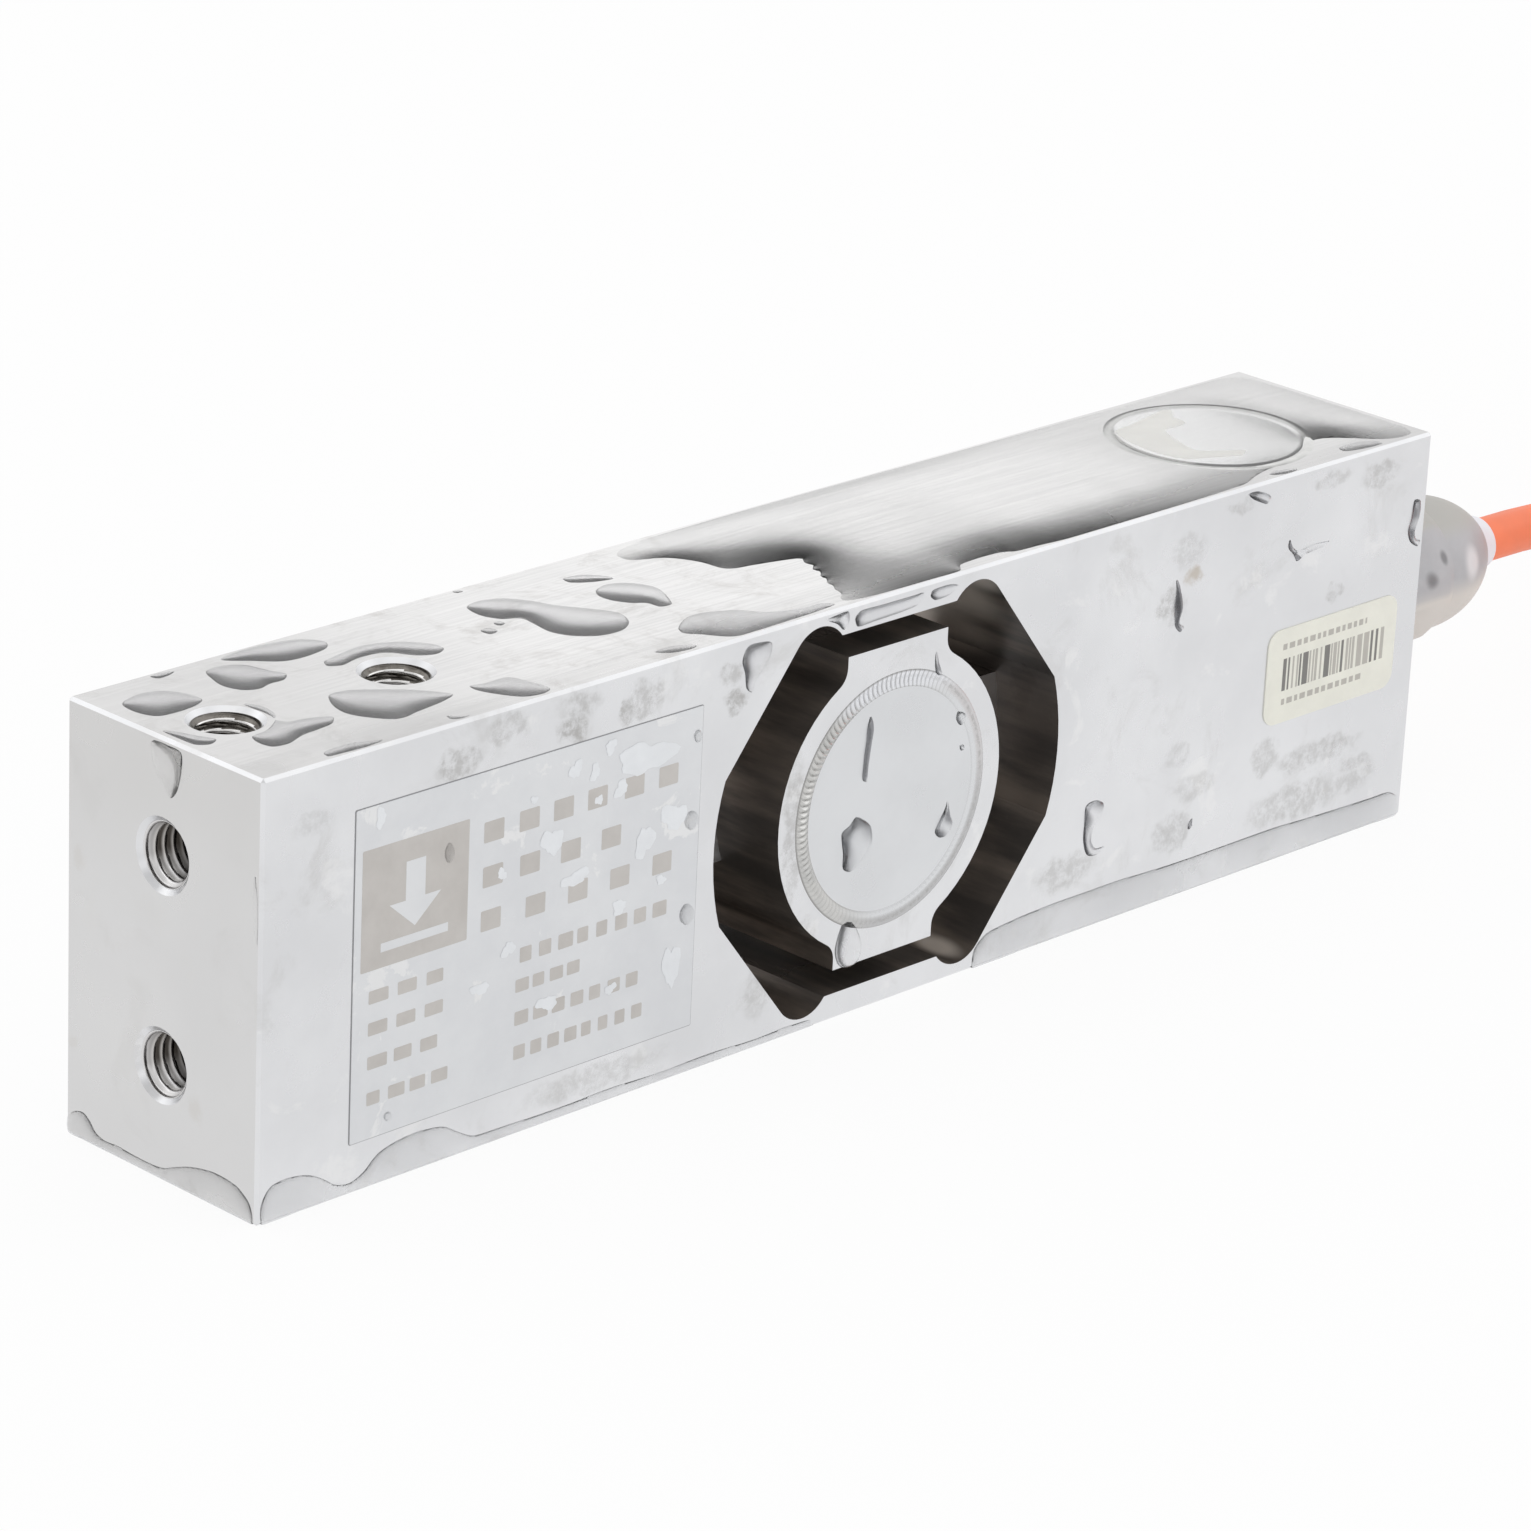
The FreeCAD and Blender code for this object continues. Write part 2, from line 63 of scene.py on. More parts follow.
camera_data = bpy.data.cameras.new("camera")
camera_data.sensor_fit = "HORIZONTAL"
camera_data.sensor_width = 36
camera_data.lens = 144.71
camera_data.clip_start = 0.01
camera = add_object("camera", camera_data)
# columns: right, up, back and the place
camera.matrix_world = Matrix((
    (0.70487165, 0.22462794, -0.67282854, -0.381469),
    (-0.70795597, 0.28189561, -0.64755943, -0.363806),
    (0.04420747, 0.93277926, 0.35772691, 0.221285),
    (0, 0, 0, 1),
))
scene.camera = camera
scene.view_settings.view_transform = "Standard"


# ---- node trees

class Value:
    """Output of a node, to reckon with like a number or a colour."""

    def __init__(self, tree, socket):
        self.tree = tree
        self.socket = socket

    def calc(self, operation, other=0, clamp=False):
        return self.tree.value("Math", {0: self, 1: other}, operation=operation, use_clamp=clamp)

    __add__ = partialmethod(calc, "ADD")
    __sub__ = partialmethod(calc, "SUBTRACT")
    __mul__ = partialmethod(calc, "MULTIPLY")
    __truediv__ = partialmethod(calc, "DIVIDE")
    __abs__ = partialmethod(calc, "ABSOLUTE")
    most = partialmethod(calc, "MAXIMUM")

    def __rsub__(self, other):
        return self.tree.value("Math", {0: other, 1: self}, operation="SUBTRACT")

    def ramp(self, low, high, out_low=0, out_high=1):
        """Goes smoothly from out_low to out_high while this goes from low to high."""
        inputs = {"Value": self, "From Min": low, "From Max": high, "To Min": out_low, "To Max": out_high}
        return self.tree.value("MapRange", inputs, interpolation_type="SMOOTHSTEP")

    def tones(self, first, last, low=0.3, high=0.7):
        """Colour that goes smoothly from first to last while this goes from low to high."""
        return self.tree.mix(self.ramp(low, high), first, last)

    def tint(self, *layers):
        """This colour under layers of (share, colour)."""
        colour = self
        for share, tone in layers:
            colour = self.tree.mix(share, colour, tone)
        return colour


class Tree:
    """Node tree of a material or of the world."""

    def __init__(self, owner):
        owner.use_nodes = True
        self.nodes = owner.node_tree.nodes
        self.links = owner.node_tree.links

    def put(self, socket, value):
        """Links or sets an input; colours come as three numbers."""
        if isinstance(value, Value):
            self.links.new(value.socket, socket)
        else:
            socket.default_value = (*value, 1) if socket.type == "RGBA" else value

    def node(self, kind, inputs=None, **settings):
        made = self.nodes.new("ShaderNode" + kind)
        for name, value in settings.items():
            setattr(made, name, value)
        for name, value in (inputs or {}).items():
            self.put(made.inputs[name], value)
        return made

    def value(self, kind, inputs=None, output=0, **settings):
        return Value(self, self.node(kind, inputs, **settings).outputs[output])

    def mix(self, share, a, b):
        return self.value("Mix", {0: share, 6: a, 7: b}, 2, data_type="RGBA")

    def split(self, vector):
        return [Value(self, part) for part in self.node("SeparateXYZ", {"Vector": vector}).outputs]


class Look(Tree):
    """Material with a principled shader; at is the place on the object and facing its normal there."""

    def __init__(self, name, **constants):
        self.made = bpy.data.materials.new(name)
        super().__init__(self.made)
        self.shader = self.nodes["Principled BSDF"]
        self.feed(**constants)
        where = self.node("TexCoord")
        self.at = Value(self, where.outputs["Object"])
        self.facing = Value(self, where.outputs["Normal"])

    def feed(self, **values):
        for name, value in values.items():
            self.put(self.shader.inputs[name.replace("_", " ")], value)
        return self.made

    def noise(self, scale, detail=4, roughness=0.55, distortion=0, stretch=None, output=0):
        at = self.value("Mapping", {"Vector": self.at, "Scale": stretch}) if stretch else self.at
        inputs = {"Vector": at, "Scale": scale, "Detail": detail, "Roughness": roughness, "Distortion": distortion}
        return self.value("TexNoise", inputs, output)

    def bump(self, height, strength, distance):
        return self.value("Bump", {"Height": height, "Strength": strength, "Distance": distance})

    def spot(self, at, centre, half, depth, soft):
        """Blotch round a place: strong in its middle, gone past its half sizes."""
        scale = tuple(1 / MM / h for h in half)
        shift = tuple(-c / h for c, h in zip(centre, half))
        near = self.value("Mapping", {"Vector": at, "Location": shift, "Scale": scale})
        reach = self.value("VectorMath", {0: near}, "Value", operation="LENGTH")
        return reach.ramp(1.15, 1.15 - soft, 0, depth)

    def spots(self, rows, at=None):
        """Layers of soft blotches from (centre, half sizes, depth, tone)."""
        return [(self.spot(at or self.at, *row[:3], 0.8), row[3]) for row in rows]


# ---- materials

# x, z, half width, half height, depth
STAINS_AND_SHADE = [
    (-47.7, 38.2, 2.6, 1.4, 0.28), (-40.3, 36.2, 2, 1.5, 0.46), (-39.4, 38.4, 2.8, 1.3, 0.3),
    (-31.8, 36.9, 2.8, 1.9, 0.32), (-34, 36.3, 0.9, 1.6, 0.4), (-53.5, 36.2, 3, 1.7, 0.36),
    (-20.5, 34.3, 1.5, 1.4, 0.45), (-21.1, 37, 1.3, 1.1, 0.3), (37.3, 30.5, 2.1, 2, 0.34),
    (39.5, 35.3, 2.6, 1.8, 0.18), (46.6, 38.2, 2, 1, 0.26), (67.6, 37.1, 2.9, 1.5, 0.3),
    (59.9, 38.3, 2.9, 1, 0.24), (61.5, 26.5, 1.2, 0.9, 0.28), (39.8, 14.6, 1.9, 1.4, 0.18),
    (58.1, 5.6, 7.9, 2.1, 0.28), (67, 6.4, 3.5, 2.2, 0.25), (61, 10, 7, 1.5, 0.27),
    # the row at x -12.4, z 21 is painted shade on the island's left; the other rows are stains
    (-12.7, 15, 1, 3.2, 0.2), (-12.4, 21, 1.5, 6.5, 0.3), (-10.6, 9.6, 1.6, 1.6, 0.22),
    (39.7, 6.8, 2.8, 2.1, 0.28), (24.5, 6.6, 4.4, 2, 0.27), (42.7, 10.9, 3.3, 1.4, 0.18),
    (53, 11.4, 2, 2.1, 0.27), (-69.5, 35, 2.2, 1.4, 0.16), (-36, 2.6, 9, 1.4, 0.2),
    (-16, 6, 2.4, 3.4, 0.2),
]
STAIN_REACH = 3
RUST = [
    (centre, (half, half, half), depth, (0.42, 0.34, 0.24)) for centre, half, depth in (
        ((40.6, -12.5, 32.7), 1.2, 0.55),
        ((-75, -4.5, 7.9), 1.3, 0.35),
        ((-75, 10.8, 26.1), 1, 0.3),
        ((-75, 11.4, 8.7), 0.9, 0.25),
    )
]
# painted highlights on the walls of the opening and painted shade in their middle: centre, half sizes, depth, tone
WALL_LIGHT_AND_SHADE = [
    ((22.5, -8, 22), (4, 10, 8), 0.55, (0.06, 0.05, 0.045)),
    ((19, 0, 29.5), (4.5, 7, 4.5), 0.75, (0.7, 0.62, 0.55)),
    ((15.5, -4, 35), (4.8, 7, 4.8), 0.95, (0.98, 0.89, 0.8)),
    ((12.2, -9, 37.8), (3, 4.5, 2.4), 0.95, (0.98, 0.91, 0.83)),
    ((11.4, -8.8, 1.4), (1.5, 3.4, 1), 0.9, (0.9, 0.81, 0.72)),
]
# a painted highlight and two dark spots on the dome nut: centre, half sizes, depth, tone
GLAND_HIGHLIGHT_AND_DARK_SPOTS = [
    ((91.1, -6.3, 21.4), (1.5, 1.9, 2.1), 0.8, (0.82, 0.8, 0.81)),
    ((86.5, -6.3, 22.9), (0.6, 1.5, 0.85), 0.6, (0.1, 0.095, 0.1)),
    ((83.8, -6.8, 21.2), (1.2, 1.5, 1), 0.65, (0.1, 0.095, 0.1)),
]
BEAD = 11.43
BEAD_HALF = 0.82
RIPPLES = 124
RIPPLE_LEAN = 0.55


def steel_colours(look):
    """Mottled grey of machined stainless steel with stains, painted shade on the island's left and dried water
    marks, and the marks' mask.
    """
    ragged = look.noise(420, 6, 0.62, output="Color")
    wander = look.value("VectorMath", {0: ragged, 1: (0.5, 0.5, 0.5)}, operation="SUBTRACT")
    wander = look.value("VectorMath", {0: wander, "Scale": 0.0034}, operation="SCALE")
    there = look.value("VectorMath", {0: look.at, 1: wander})
    stains_and_shade = None
    for x, z, wide, high, depth in STAINS_AND_SHADE:
        one = look.spot(there, (x, -HALF_WIDTH, z), (wide, STAIN_REACH, high), depth, 0.55)
        stains_and_shade = stains_and_shade.most(one) if stains_and_shade else one
    broken = look.noise(800, 6, 0.74).ramp(0.36, 0.62, 0.15, 1.5)
    marks = look.noise(150, 7, 0.6, 0.4).ramp(0.58, 0.66, 0, 0.5)
    colour = look.noise(55, 6, 0.6).tones((0.715, 0.72, 0.735), (0.785, 0.79, 0.805)).tint(
        (look.noise(105, 8, 0.66, 0.6).ramp(0.54, 0.72, 0, 0.35), (0.5, 0.49, 0.475)),
        (marks, (0.88, 0.88, 0.88)),
        # stains, and painted shade on the island's left
        (stains_and_shade.calc("MULTIPLY", broken, True), (0.36, 0.35, 0.335)),
        *look.spots(RUST, there),
    )
    return colour, marks


def steel_body():
    """Measuring body: bright front with stains, an end face painted darker as shade, most towards its top, brushed
    and worn top, and bronze walls in the opening with painted highlights and shade.
    """
    look = Look("steel_body")
    x, y, z = look.split(look.at)
    face_x, face_y, face_z = look.split(look.facing)
    colour, marks = steel_colours(look)
    # painted shade: the end face darker than the front, most towards its top
    end_face_shade = face_x.ramp(-0.8, -0.95) * z.ramp(0.024, 0.038, 0.72, 1)
    top_face = face_z.ramp(0.8, 0.95)
    inside = abs(x).ramp(0.0234, 0.0232) * abs(z - MM * MIDDLE).ramp(0.0192, 0.019)
    wall = inside * abs(face_y).ramp(0.75, 0.6)
    brushed = look.noise(2600, 5, 0.7, stretch=(0.02, 1, 1))
    blotch = look.noise(150, 9, 0.72, 0.5).ramp(0.49, 0.7, 0, 0.7) * x.ramp(0, -0.012)
    worn = x.ramp(-0.035, -0.06, 0, 0.55) + x.ramp(0.03, 0.054, 0, 0.55)
    top_colour = brushed.tones((0.7, 0.695, 0.695), (0.8, 0.795, 0.79))
    top_colour = top_colour.tint((blotch, (0.53, 0.515, 0.5)), (worn, (0.55, 0.545, 0.545)))
    streaks = look.noise(260, 5, 0.6, stretch=(1, 0.12, 1))
    # bronze of the walls, darker towards the front face, with painted highlights and painted shade
    bronze = streaks.tones((0.1, 0.088, 0.08), (0.34, 0.28, 0.235), 0.38, 0.72).tint(
        (look.noise(1300, 4, 0.75).ramp(0.66, 0.76, 0, 0.5), (0.42, 0.37, 0.32)),
        (y.ramp(-0.006, -0.011, 0, 0.45), (0.05, 0.045, 0.04)),
        *look.spots(WALL_LIGHT_AND_SHADE),
    )
    rough = look.noise(80, 5).ramp(0.3, 0.7, 0.24, 0.36)
    polish = y.ramp(-0.005, -0.0105, 0.42, 0.9).most(x.ramp(-0.014, -0.022, 0, 0.6))
    rough = rough * (top_face * polish + (1 - top_face)) + marks * (0.25 - top_face * 0.25)
    grind = look.noise(5200, 3, 0.6, stretch=(0.012, 1, 1))
    relief = grind * top_face.ramp(0, 1, 0.25, 0.6) + look.noise(900, 3, 0.7) * 0.5
    return look.feed(
        # painted shade on the end face; the walls carry painted highlights and painted shade
        Base_Color=colour.tint((end_face_shade, (0.655, 0.65, 0.645)), (top_face, top_colour), (wall, bronze)),
        Metallic=wall.ramp(0, 1, 1, 0.55),
        Roughness=rough + wall * 0.12,
        Normal=look.bump(relief, 0.25, 0.00002),
    )


def weld_steel():
    """Weld bead round a gauge cover: cream and grooved on the left with painted shade in the grooves, a plain grey
    seam on the right, and painted light that makes it lighter towards its top, with a painted highlight along the
    top.
    """
    look = Look("weld_steel", Metallic=1)
    x, _, z = look.split(look.at)
    up = z - MM * MIDDLE
    across = ((x * x + up * up).calc("SQRT") - MM * BEAD) / (MM * BEAD_HALF)
    phase = up.calc("ARCTAN2", x) / (2 * math.pi) * RIPPLES + across * across * RIPPLE_LEAN
    cloud = look.noise(420, 5, 0.6)
    # painted light: the plain grey lighter towards the top of the bead
    plain = up.tones((0.51, 0.51, 0.515), (0.62, 0.605, 0.61), -0.004, 0.004)
    plain = across.tones((0.7, 0.71, 0.725), plain, -0.5, 0)
    worked = (x + up * -0.45).ramp(0.0055, -0.004)
    deep = worked * up.ramp(-0.008, 0.004, 0.4, 1)
    # painted shade in the grooves between the ripples
    groove_shade = abs(phase.calc("FRACT") - 0.5).ramp(0.26, 0.04, 0, 0.55) * deep
    dashes = look.noise(1500, 4, 0.7).ramp(0.42, 0.58, 0.1, 0.7)
    seam = abs(across - 0.3).ramp(0.36, 0.1) * dashes * (1 - worked)
    outer = across.ramp(0.72, 0.95) * worked.ramp(0, 1, 0.15, 0.8)
    inner = across.ramp(-0.74, -0.95) * worked.ramp(0, 1, 0.15, 0.4)
    colour = plain.tint(
        (worked, cloud.tones((0.53, 0.53, 0.52), (0.63, 0.625, 0.61))),
        # painted highlight along the top of the bead
        (up.ramp(0.0085, 0.0108), (0.78, 0.79, 0.82)),
        (groove_shade, (0.31, 0.305, 0.3)),
        (seam, (0.42, 0.415, 0.41)),
        (outer + inner, (0.27, 0.265, 0.26)),
    )
    return look.feed(Base_Color=colour, Roughness=cloud.ramp(0.3, 0.7, 0.2, 0.3))


def end_thread_steel():
    """Thread in the end face: painted shade in its dark roots and black deep inside, pale crests, and painted
    light along the bottom and near the mouth.
    """
    look = Look("end_thread_steel", Metallic=1, Roughness=0.3)
    x, y, z = look.split(look.at)
    apart = MM * HOLES_APART
    rise = (z - (MM * MIDDLE - apart)).calc("MODULO", apart) - apart / 2
    low = -0.0006, -0.0024
    # painted shade in the roots, and painted light towards the bottom of the hole
    colour = rise.tones((0.07, 0.062, 0.055), (0.5, 0.49, 0.48), *low).tint(
        # crests, with painted light towards the bottom
        (
            (y * y + rise * rise).calc("SQRT").ramp(0.00274, 0.0025),
            rise.tones((0.44, 0.42, 0.4), (0.95, 0.94, 0.95), *low),
        ),
        # painted light near the mouth
        (x.ramp(-0.0732, -0.0746, 0, 0.8), (0.84, 0.83, 0.83)),
        # painted shade deep inside
        (x.ramp(-0.0726, -0.0705, 0, 0.85), (0.04, 0.035, 0.03)),
    )
    return look.feed(Base_Color=colour)


def plated():
    """Dull plating with painted reflections: beige above, a lighter beige below that mirrors the floor, cooler in
    the middle, with a painted highlight and two dark spots.
    """
    look = Look("plated_brass", Metallic=0.2)
    face_z = look.split(look.facing)[2]
    cloud = look.noise(160, 6, 0.6)
    colour = cloud.tones((0.45, 0.445, 0.46), (0.52, 0.515, 0.53)).tint(
        # painted reflections, set by which way the dome faces
        (face_z.ramp(0.55, 0.8), (0.49, 0.48, 0.455)),
        (face_z.ramp(0.1, -0.3), (0.7, 0.66, 0.62)),
        *look.spots(GLAND_HIGHLIGHT_AND_DARK_SPOTS),
    )
    normal = look.bump(look.noise(2600, 3, stretch=(1, 0.2, 0.2)), 0.15, 0.00002)
    return look.feed(Base_Color=colour, Roughness=cloud.ramp(0.3, 0.7, 0.48, 0.62), Normal=normal)


def foil():
    """Nameplate foil with dried water marks."""
    look = Look("label_foil", Metallic=0.7)
    cloud = look.noise(120, 6, 0.6)
    marks = look.noise(190, 7, 0.62, 0.5).ramp(0.6, 0.65)
    colour = cloud.tones((0.7, 0.71, 0.73), (0.77, 0.78, 0.795)).tint((marks * 0.7, (0.9, 0.9, 0.9)))
    rough = cloud.ramp(0.3, 0.7, 0.34, 0.46) + marks * 0.2
    return look.feed(Base_Color=colour, Roughness=rough, Normal=look.bump(cloud, 0.1, 0.00008))


def mottled(name, cloud, tones, rough, span=(0.3, 0.7), grain=None, bump=None, metal=0):
    """Surface with a cloudy tone and gloss, and a fine grain where it has one."""
    look = Look(name, Metallic=metal)
    cloud = look.noise(*cloud)
    look.feed(Base_Color=cloud.tones(*tones, *span), Roughness=cloud.ramp(0.3, 0.7, *rough))
    if grain:
        look.feed(Normal=look.bump(look.noise(**grain), *bump))
    return look.made


def shade(tint, share):
    return tuple(min(1, share * c) for c in tint)


def steel(name, tint, rough, scale=90, spread=0.12, metal=1):
    tones = shade(tint, 1 - spread), shade(tint, 1 + 0.6 * spread)
    grain = {"scale": 3200, "detail": 3, "stretch": (0.05, 1, 1)}
    gloss = 0.85 * rough, 1.2 * rough
    return mottled(name, (scale, 6, 0.6), tones, gloss, grain=grain, bump=(0.15, 0.00002), metal=metal)


def paper(name, tint):
    grain = {"scale": 4000, "detail": 2}
    return mottled(name, (300, 6, 0.6), (shade(tint, 0.94), tint), (0.45, 0.6), grain=grain, bump=(0.12, 0.00002))


def plastic(name, tint, rough):
    grain = {"scale": 1500, "detail": 3}
    gloss = 0.9 * rough, 1.15 * rough
    return mottled(name, (140, 5, 0.6), (shade(tint, 0.9), tint), gloss, grain=grain, bump=(0.12, 0.00003))


def water(name, tint, clear):
    return Look(name, Base_Color=tint, Roughness=0, IOR=1.333, Transmission_Weight=clear)


def drip_water():
    """Water running down the front face: its lower left edges are painted dark, painted shade for the light they
    bend away.
    """
    look = water("drip_water", (1, 1, 1), 1)
    x, _, z = look.split(look.facing)
    lean = x * -0.75 + z * -0.66
    # painted shade on the lower left edges of the drips
    return look.feed(Base_Color=lean.tones((0.99, 0.99, 0.995), (0.14, 0.14, 0.15), 0.1, 0.5))


STEEL = steel_body()
COVER_STEEL = steel("cover_steel", (0.705, 0.715, 0.73), 0.3, spread=0.05)
TOP_COVER_STEEL = steel("top_cover_steel", (0.78, 0.78, 0.78), 0.13, spread=0.05)
WELD_STEEL = weld_steel()
TOP_WELD_STEEL = steel("top_weld_steel", (0.66, 0.66, 0.65), 0.2, 400)
# dark line round the nameplate: painted shadow
NAMEPLATE_SHADOW_LINE = steel("label_shadow_line", (0.36, 0.36, 0.37), 0.4)
# roots of the top and base threads painted dark: painted shade in the grooves; the crests keep the steel's colour
THREAD_ROOT_SHADE_TONES = (0.1, 0.09, 0.08), (0.26, 0.245, 0.225)
SHADED_THREAD_ROOT = mottled("thread_root_painted_shade", (700, 5, 0.65), THREAD_ROOT_SHADE_TONES, (0.2, 0.34), (0.3, 0.75), metal=1)
END_THREAD = end_thread_steel()
CREST = steel("thread_crest", (0.74, 0.73, 0.72), 0.22, 700)
PLATED = plated()
COLLAR = steel("bright_collar", (0.86, 0.86, 0.91), 0.5, 160, 0.05, 0.2)
FOIL = foil()
PRINT_TONES = (0.54, 0.515, 0.49), (0.62, 0.595, 0.57)
PRINT = mottled("label_print", (260, 5, 0.6), PRINT_TONES, (0.42, 0.55), (0.25, 0.75), metal=0.35)
CREAM = paper("sticker_paper", (0.88, 0.875, 0.79))
INK = paper("sticker_ink", (0.22, 0.215, 0.205))
PALE_INK = paper("pale_ink", (0.52, 0.5, 0.46))
RESIDUE = paper("dried_residue", (0.97, 0.96, 0.92))
LABEL_RESIDUE = paper("label_residue", (0.85, 0.87, 0.895))
JACKET = plastic("cable_jacket", (1, 0.24, 0.11), 0.45)
RUBBER = plastic("seal_rubber", (0.03, 0.03, 0.032), 0.6)
TIE = plastic("tie_plastic", (0.035, 0.035, 0.036), 0.4)
BOARD = plastic("board_lacquer", (0.05, 0.24, 0.11), 0.35)
CHIP = plastic("chip_ceramic", (0.06, 0.06, 0.065), 0.4)
GAUGE = plastic("gauge_film", (0.58, 0.38, 0.1), 0.35)
WIRE = plastic("gauge_wire", (0.72, 0.7, 0.64), 0.45)
CORE_TINTS = {
    "core_red": (0.55, 0.03, 0.025),
    "core_black": (0.03, 0.03, 0.03),
    "core_green": (0.04, 0.3, 0.09),
    "core_white": (0.8, 0.8, 0.78),
}
CORES = {name: plastic(name, tint, 0.4) for name, tint in CORE_TINTS.items()}
COPPER = steel("copper", (0.8, 0.45, 0.28), 0.3, 900)
WATER = water("water", (0.94, 0.94, 0.95), 0.88).made
THIN_WATER = water("thin_water", (0.995, 0.995, 0.995), 1).made
DRIP = drip_water()


# ---- mesh helpers

class Shape:
    """Points and faces, gathered for one piece."""

    def __init__(self):
        self.verts = []
        self.faces = []

    def row(self, points):
        """Adds points and gives their numbers."""
        start = len(self.verts)
        self.verts.extend(points)
        return list(range(start, len(self.verts)))

    def face(self, corners, flip=False):
        self.faces.append(tuple(corners[::-1] if flip else corners))

    def loft(self, rows, flip=False, capped=True, closed=False):
        """Skin through rings of points; its ends are capped, or joined where it is closed."""
        rows = [self.row(points) for points in rows]
        for a, b in zip(rows, rows[1:] + rows[:1] if closed else rows[1:]):
            for k in range(len(a)):
                self.face((a[k - 1], a[k], b[k], b[k - 1]), flip)
        if capped and not closed:
            self.face(rows[0][::-1], flip)
            self.face(rows[-1], flip)
        return rows


def piece(name, shape, look, smooth=True, sharp=None):
    """Mesh object from a shape; it rides with the one body."""
    mesh = bpy.data.meshes.new(name)
    mesh.from_pydata([tuple(MM * c for c in v) for v in shape.verts], [], shape.faces)
    mesh.polygons.foreach_set("use_smooth", [smooth] * len(mesh.polygons))
    if sharp is not None:
        mesh.set_sharp_from_angle(angle=math.radians(sharp))
    for m in look if isinstance(look, list) else [look]:
        mesh.materials.append(m)
    made = add_object(name, mesh)
    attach(made, "root")
    return made


def second_look(made, test):
    """Gives a piece's second look to the faces whose middle passes the test."""
    for polygon in made.data.polygons:
        if test(polygon.center / MM):
            polygon.material_index = 1


def circle(count):
    """Angles once round, with their cosines and sines."""
    angles = [2 * math.pi * k / count for k in range(count)]
    return [(a, math.cos(a), math.sin(a)) for a in angles]


def tube(shape, points, radius, count):
    """Adds a round wire along points, closed at both ends."""
    side = Vector((0, 0, 1))
    rows = []
    for k, p in enumerate(points):
        ahead = Vector(points[min(k + 1, len(points) - 1)]) - Vector(points[max(k - 1, 0)])
        across = ahead.cross(side).normalized()
        over = across.cross(ahead).normalized()
        rows.append([tuple(Vector(p) + (across * c + over * s) * radius) for _, c, s in circle(count)])
    shape.loft(rows)


def box(x0, x1, z0, z1):
    return [(x0, z0), (x1, z0), (x1, z1), (x0, z1)]


def rounded(x0, x1, z0, z1, radius, steps=6):
    """Outline of a box with round corners."""
    left, right, low, high = x0 + radius, x1 - radius, z0 + radius, z1 - radius
    points = []
    for cx, cz, start in ((right, low, -90), (right, high, 0), (left, high, 90), (left, low, 180)):
        for k in range(steps + 1):
            a = math.radians(start + 90 * k / steps)
            points.append((cx + radius * math.cos(a), cz + radius * math.sin(a)))
    return points


# ---- cable

CABLE = 4.7
# from the gland down to the hank, in metres
ROUTE = [(0.0999, 0.0, 0.0200), (0.1259, 0.0, 0.0200), (0.1463, 0.01015, 0.00235), (0.1681, 0.01015, 0.00235)]
NEAR_X = 168.1
FAR_X = 219.3
EASE = 0.15 * (FAR_X - NEAR_X)
HANK_Y = -10.15
OUTER = 20.3
INNER = 15.5
RISE = 4.75
TURNS = 7
LEAD = 34
ARC_POINTS = 8


def hank_turn(radius):
    """One turn from the +Y run on; its points lie outside the round ends, which the smooth line touches."""
    step = math.pi / ARC_POINTS
    reach = radius / math.cos(step / 2)
    turn = []
    for x, way in ((FAR_X - EASE, 1), (NEAR_X + EASE, -1)):
        turn.append((x, HANK_Y + way * radius))
        for k in range(ARC_POINTS):
            a = math.pi / 2 - (k + 0.5) * step
            turn.append((x + way * (EASE + reach * math.cos(a)), HANK_Y + way * reach * math.sin(a)))
        turn.append((x, HANK_Y - way * radius))
    return turn


def level_points(flat, z_from, z_to):
    """Gives flat points a height that changes evenly along them."""
    travel = [0]
    for a, b in zip(flat, flat[1:]):
        travel.append(travel[-1] + math.dist(a, b))
    return [(x, y, z_from + (z_to - z_from) * s / travel[-1]) for (x, y), s in zip(flat, travel)]


def hank_points():
    """Outer turns from the floor up, then inner turns down again to where the jacket ends."""
    low = CABLE / 2
    high = low + RISE * TURNS
    outer, inner = hank_turn(OUTER), hank_turn(INNER)
    half_turn = inner[:ARC_POINTS + 2]
    outer = outer[-1:] + outer * TURNS
    inner = inner * (TURNS - 1) + half_turn + [(NEAR_X + LEAD, HANK_Y - INNER)]
    return level_points(outer, low, high) + level_points(inner, high, low)


def cable():
    points = ROUTE + [tuple(MM * c for c in p) for p in hank_points()]
    curve = bpy.data.curves.new("cable", "CURVE")
    curve.dimensions = "3D"
    spline = curve.splines.new("NURBS")
    spline.points.add(len(points) - 1)
    for p, at in zip(spline.points, points):
        p.co = (*at, 1)
    spline.order_u = 3
    spline.use_endpoint_u = True
    spline.resolution_u = 8
    curve.bevel_depth = MM * CABLE / 2
    curve.bevel_resolution = 5
    curve.use_fill_caps = True
    curve.materials.append(JACKET)
    made = add_object("cable", curve)
    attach(made, "root")
    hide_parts("cable_run", "cable_hank")
    return made


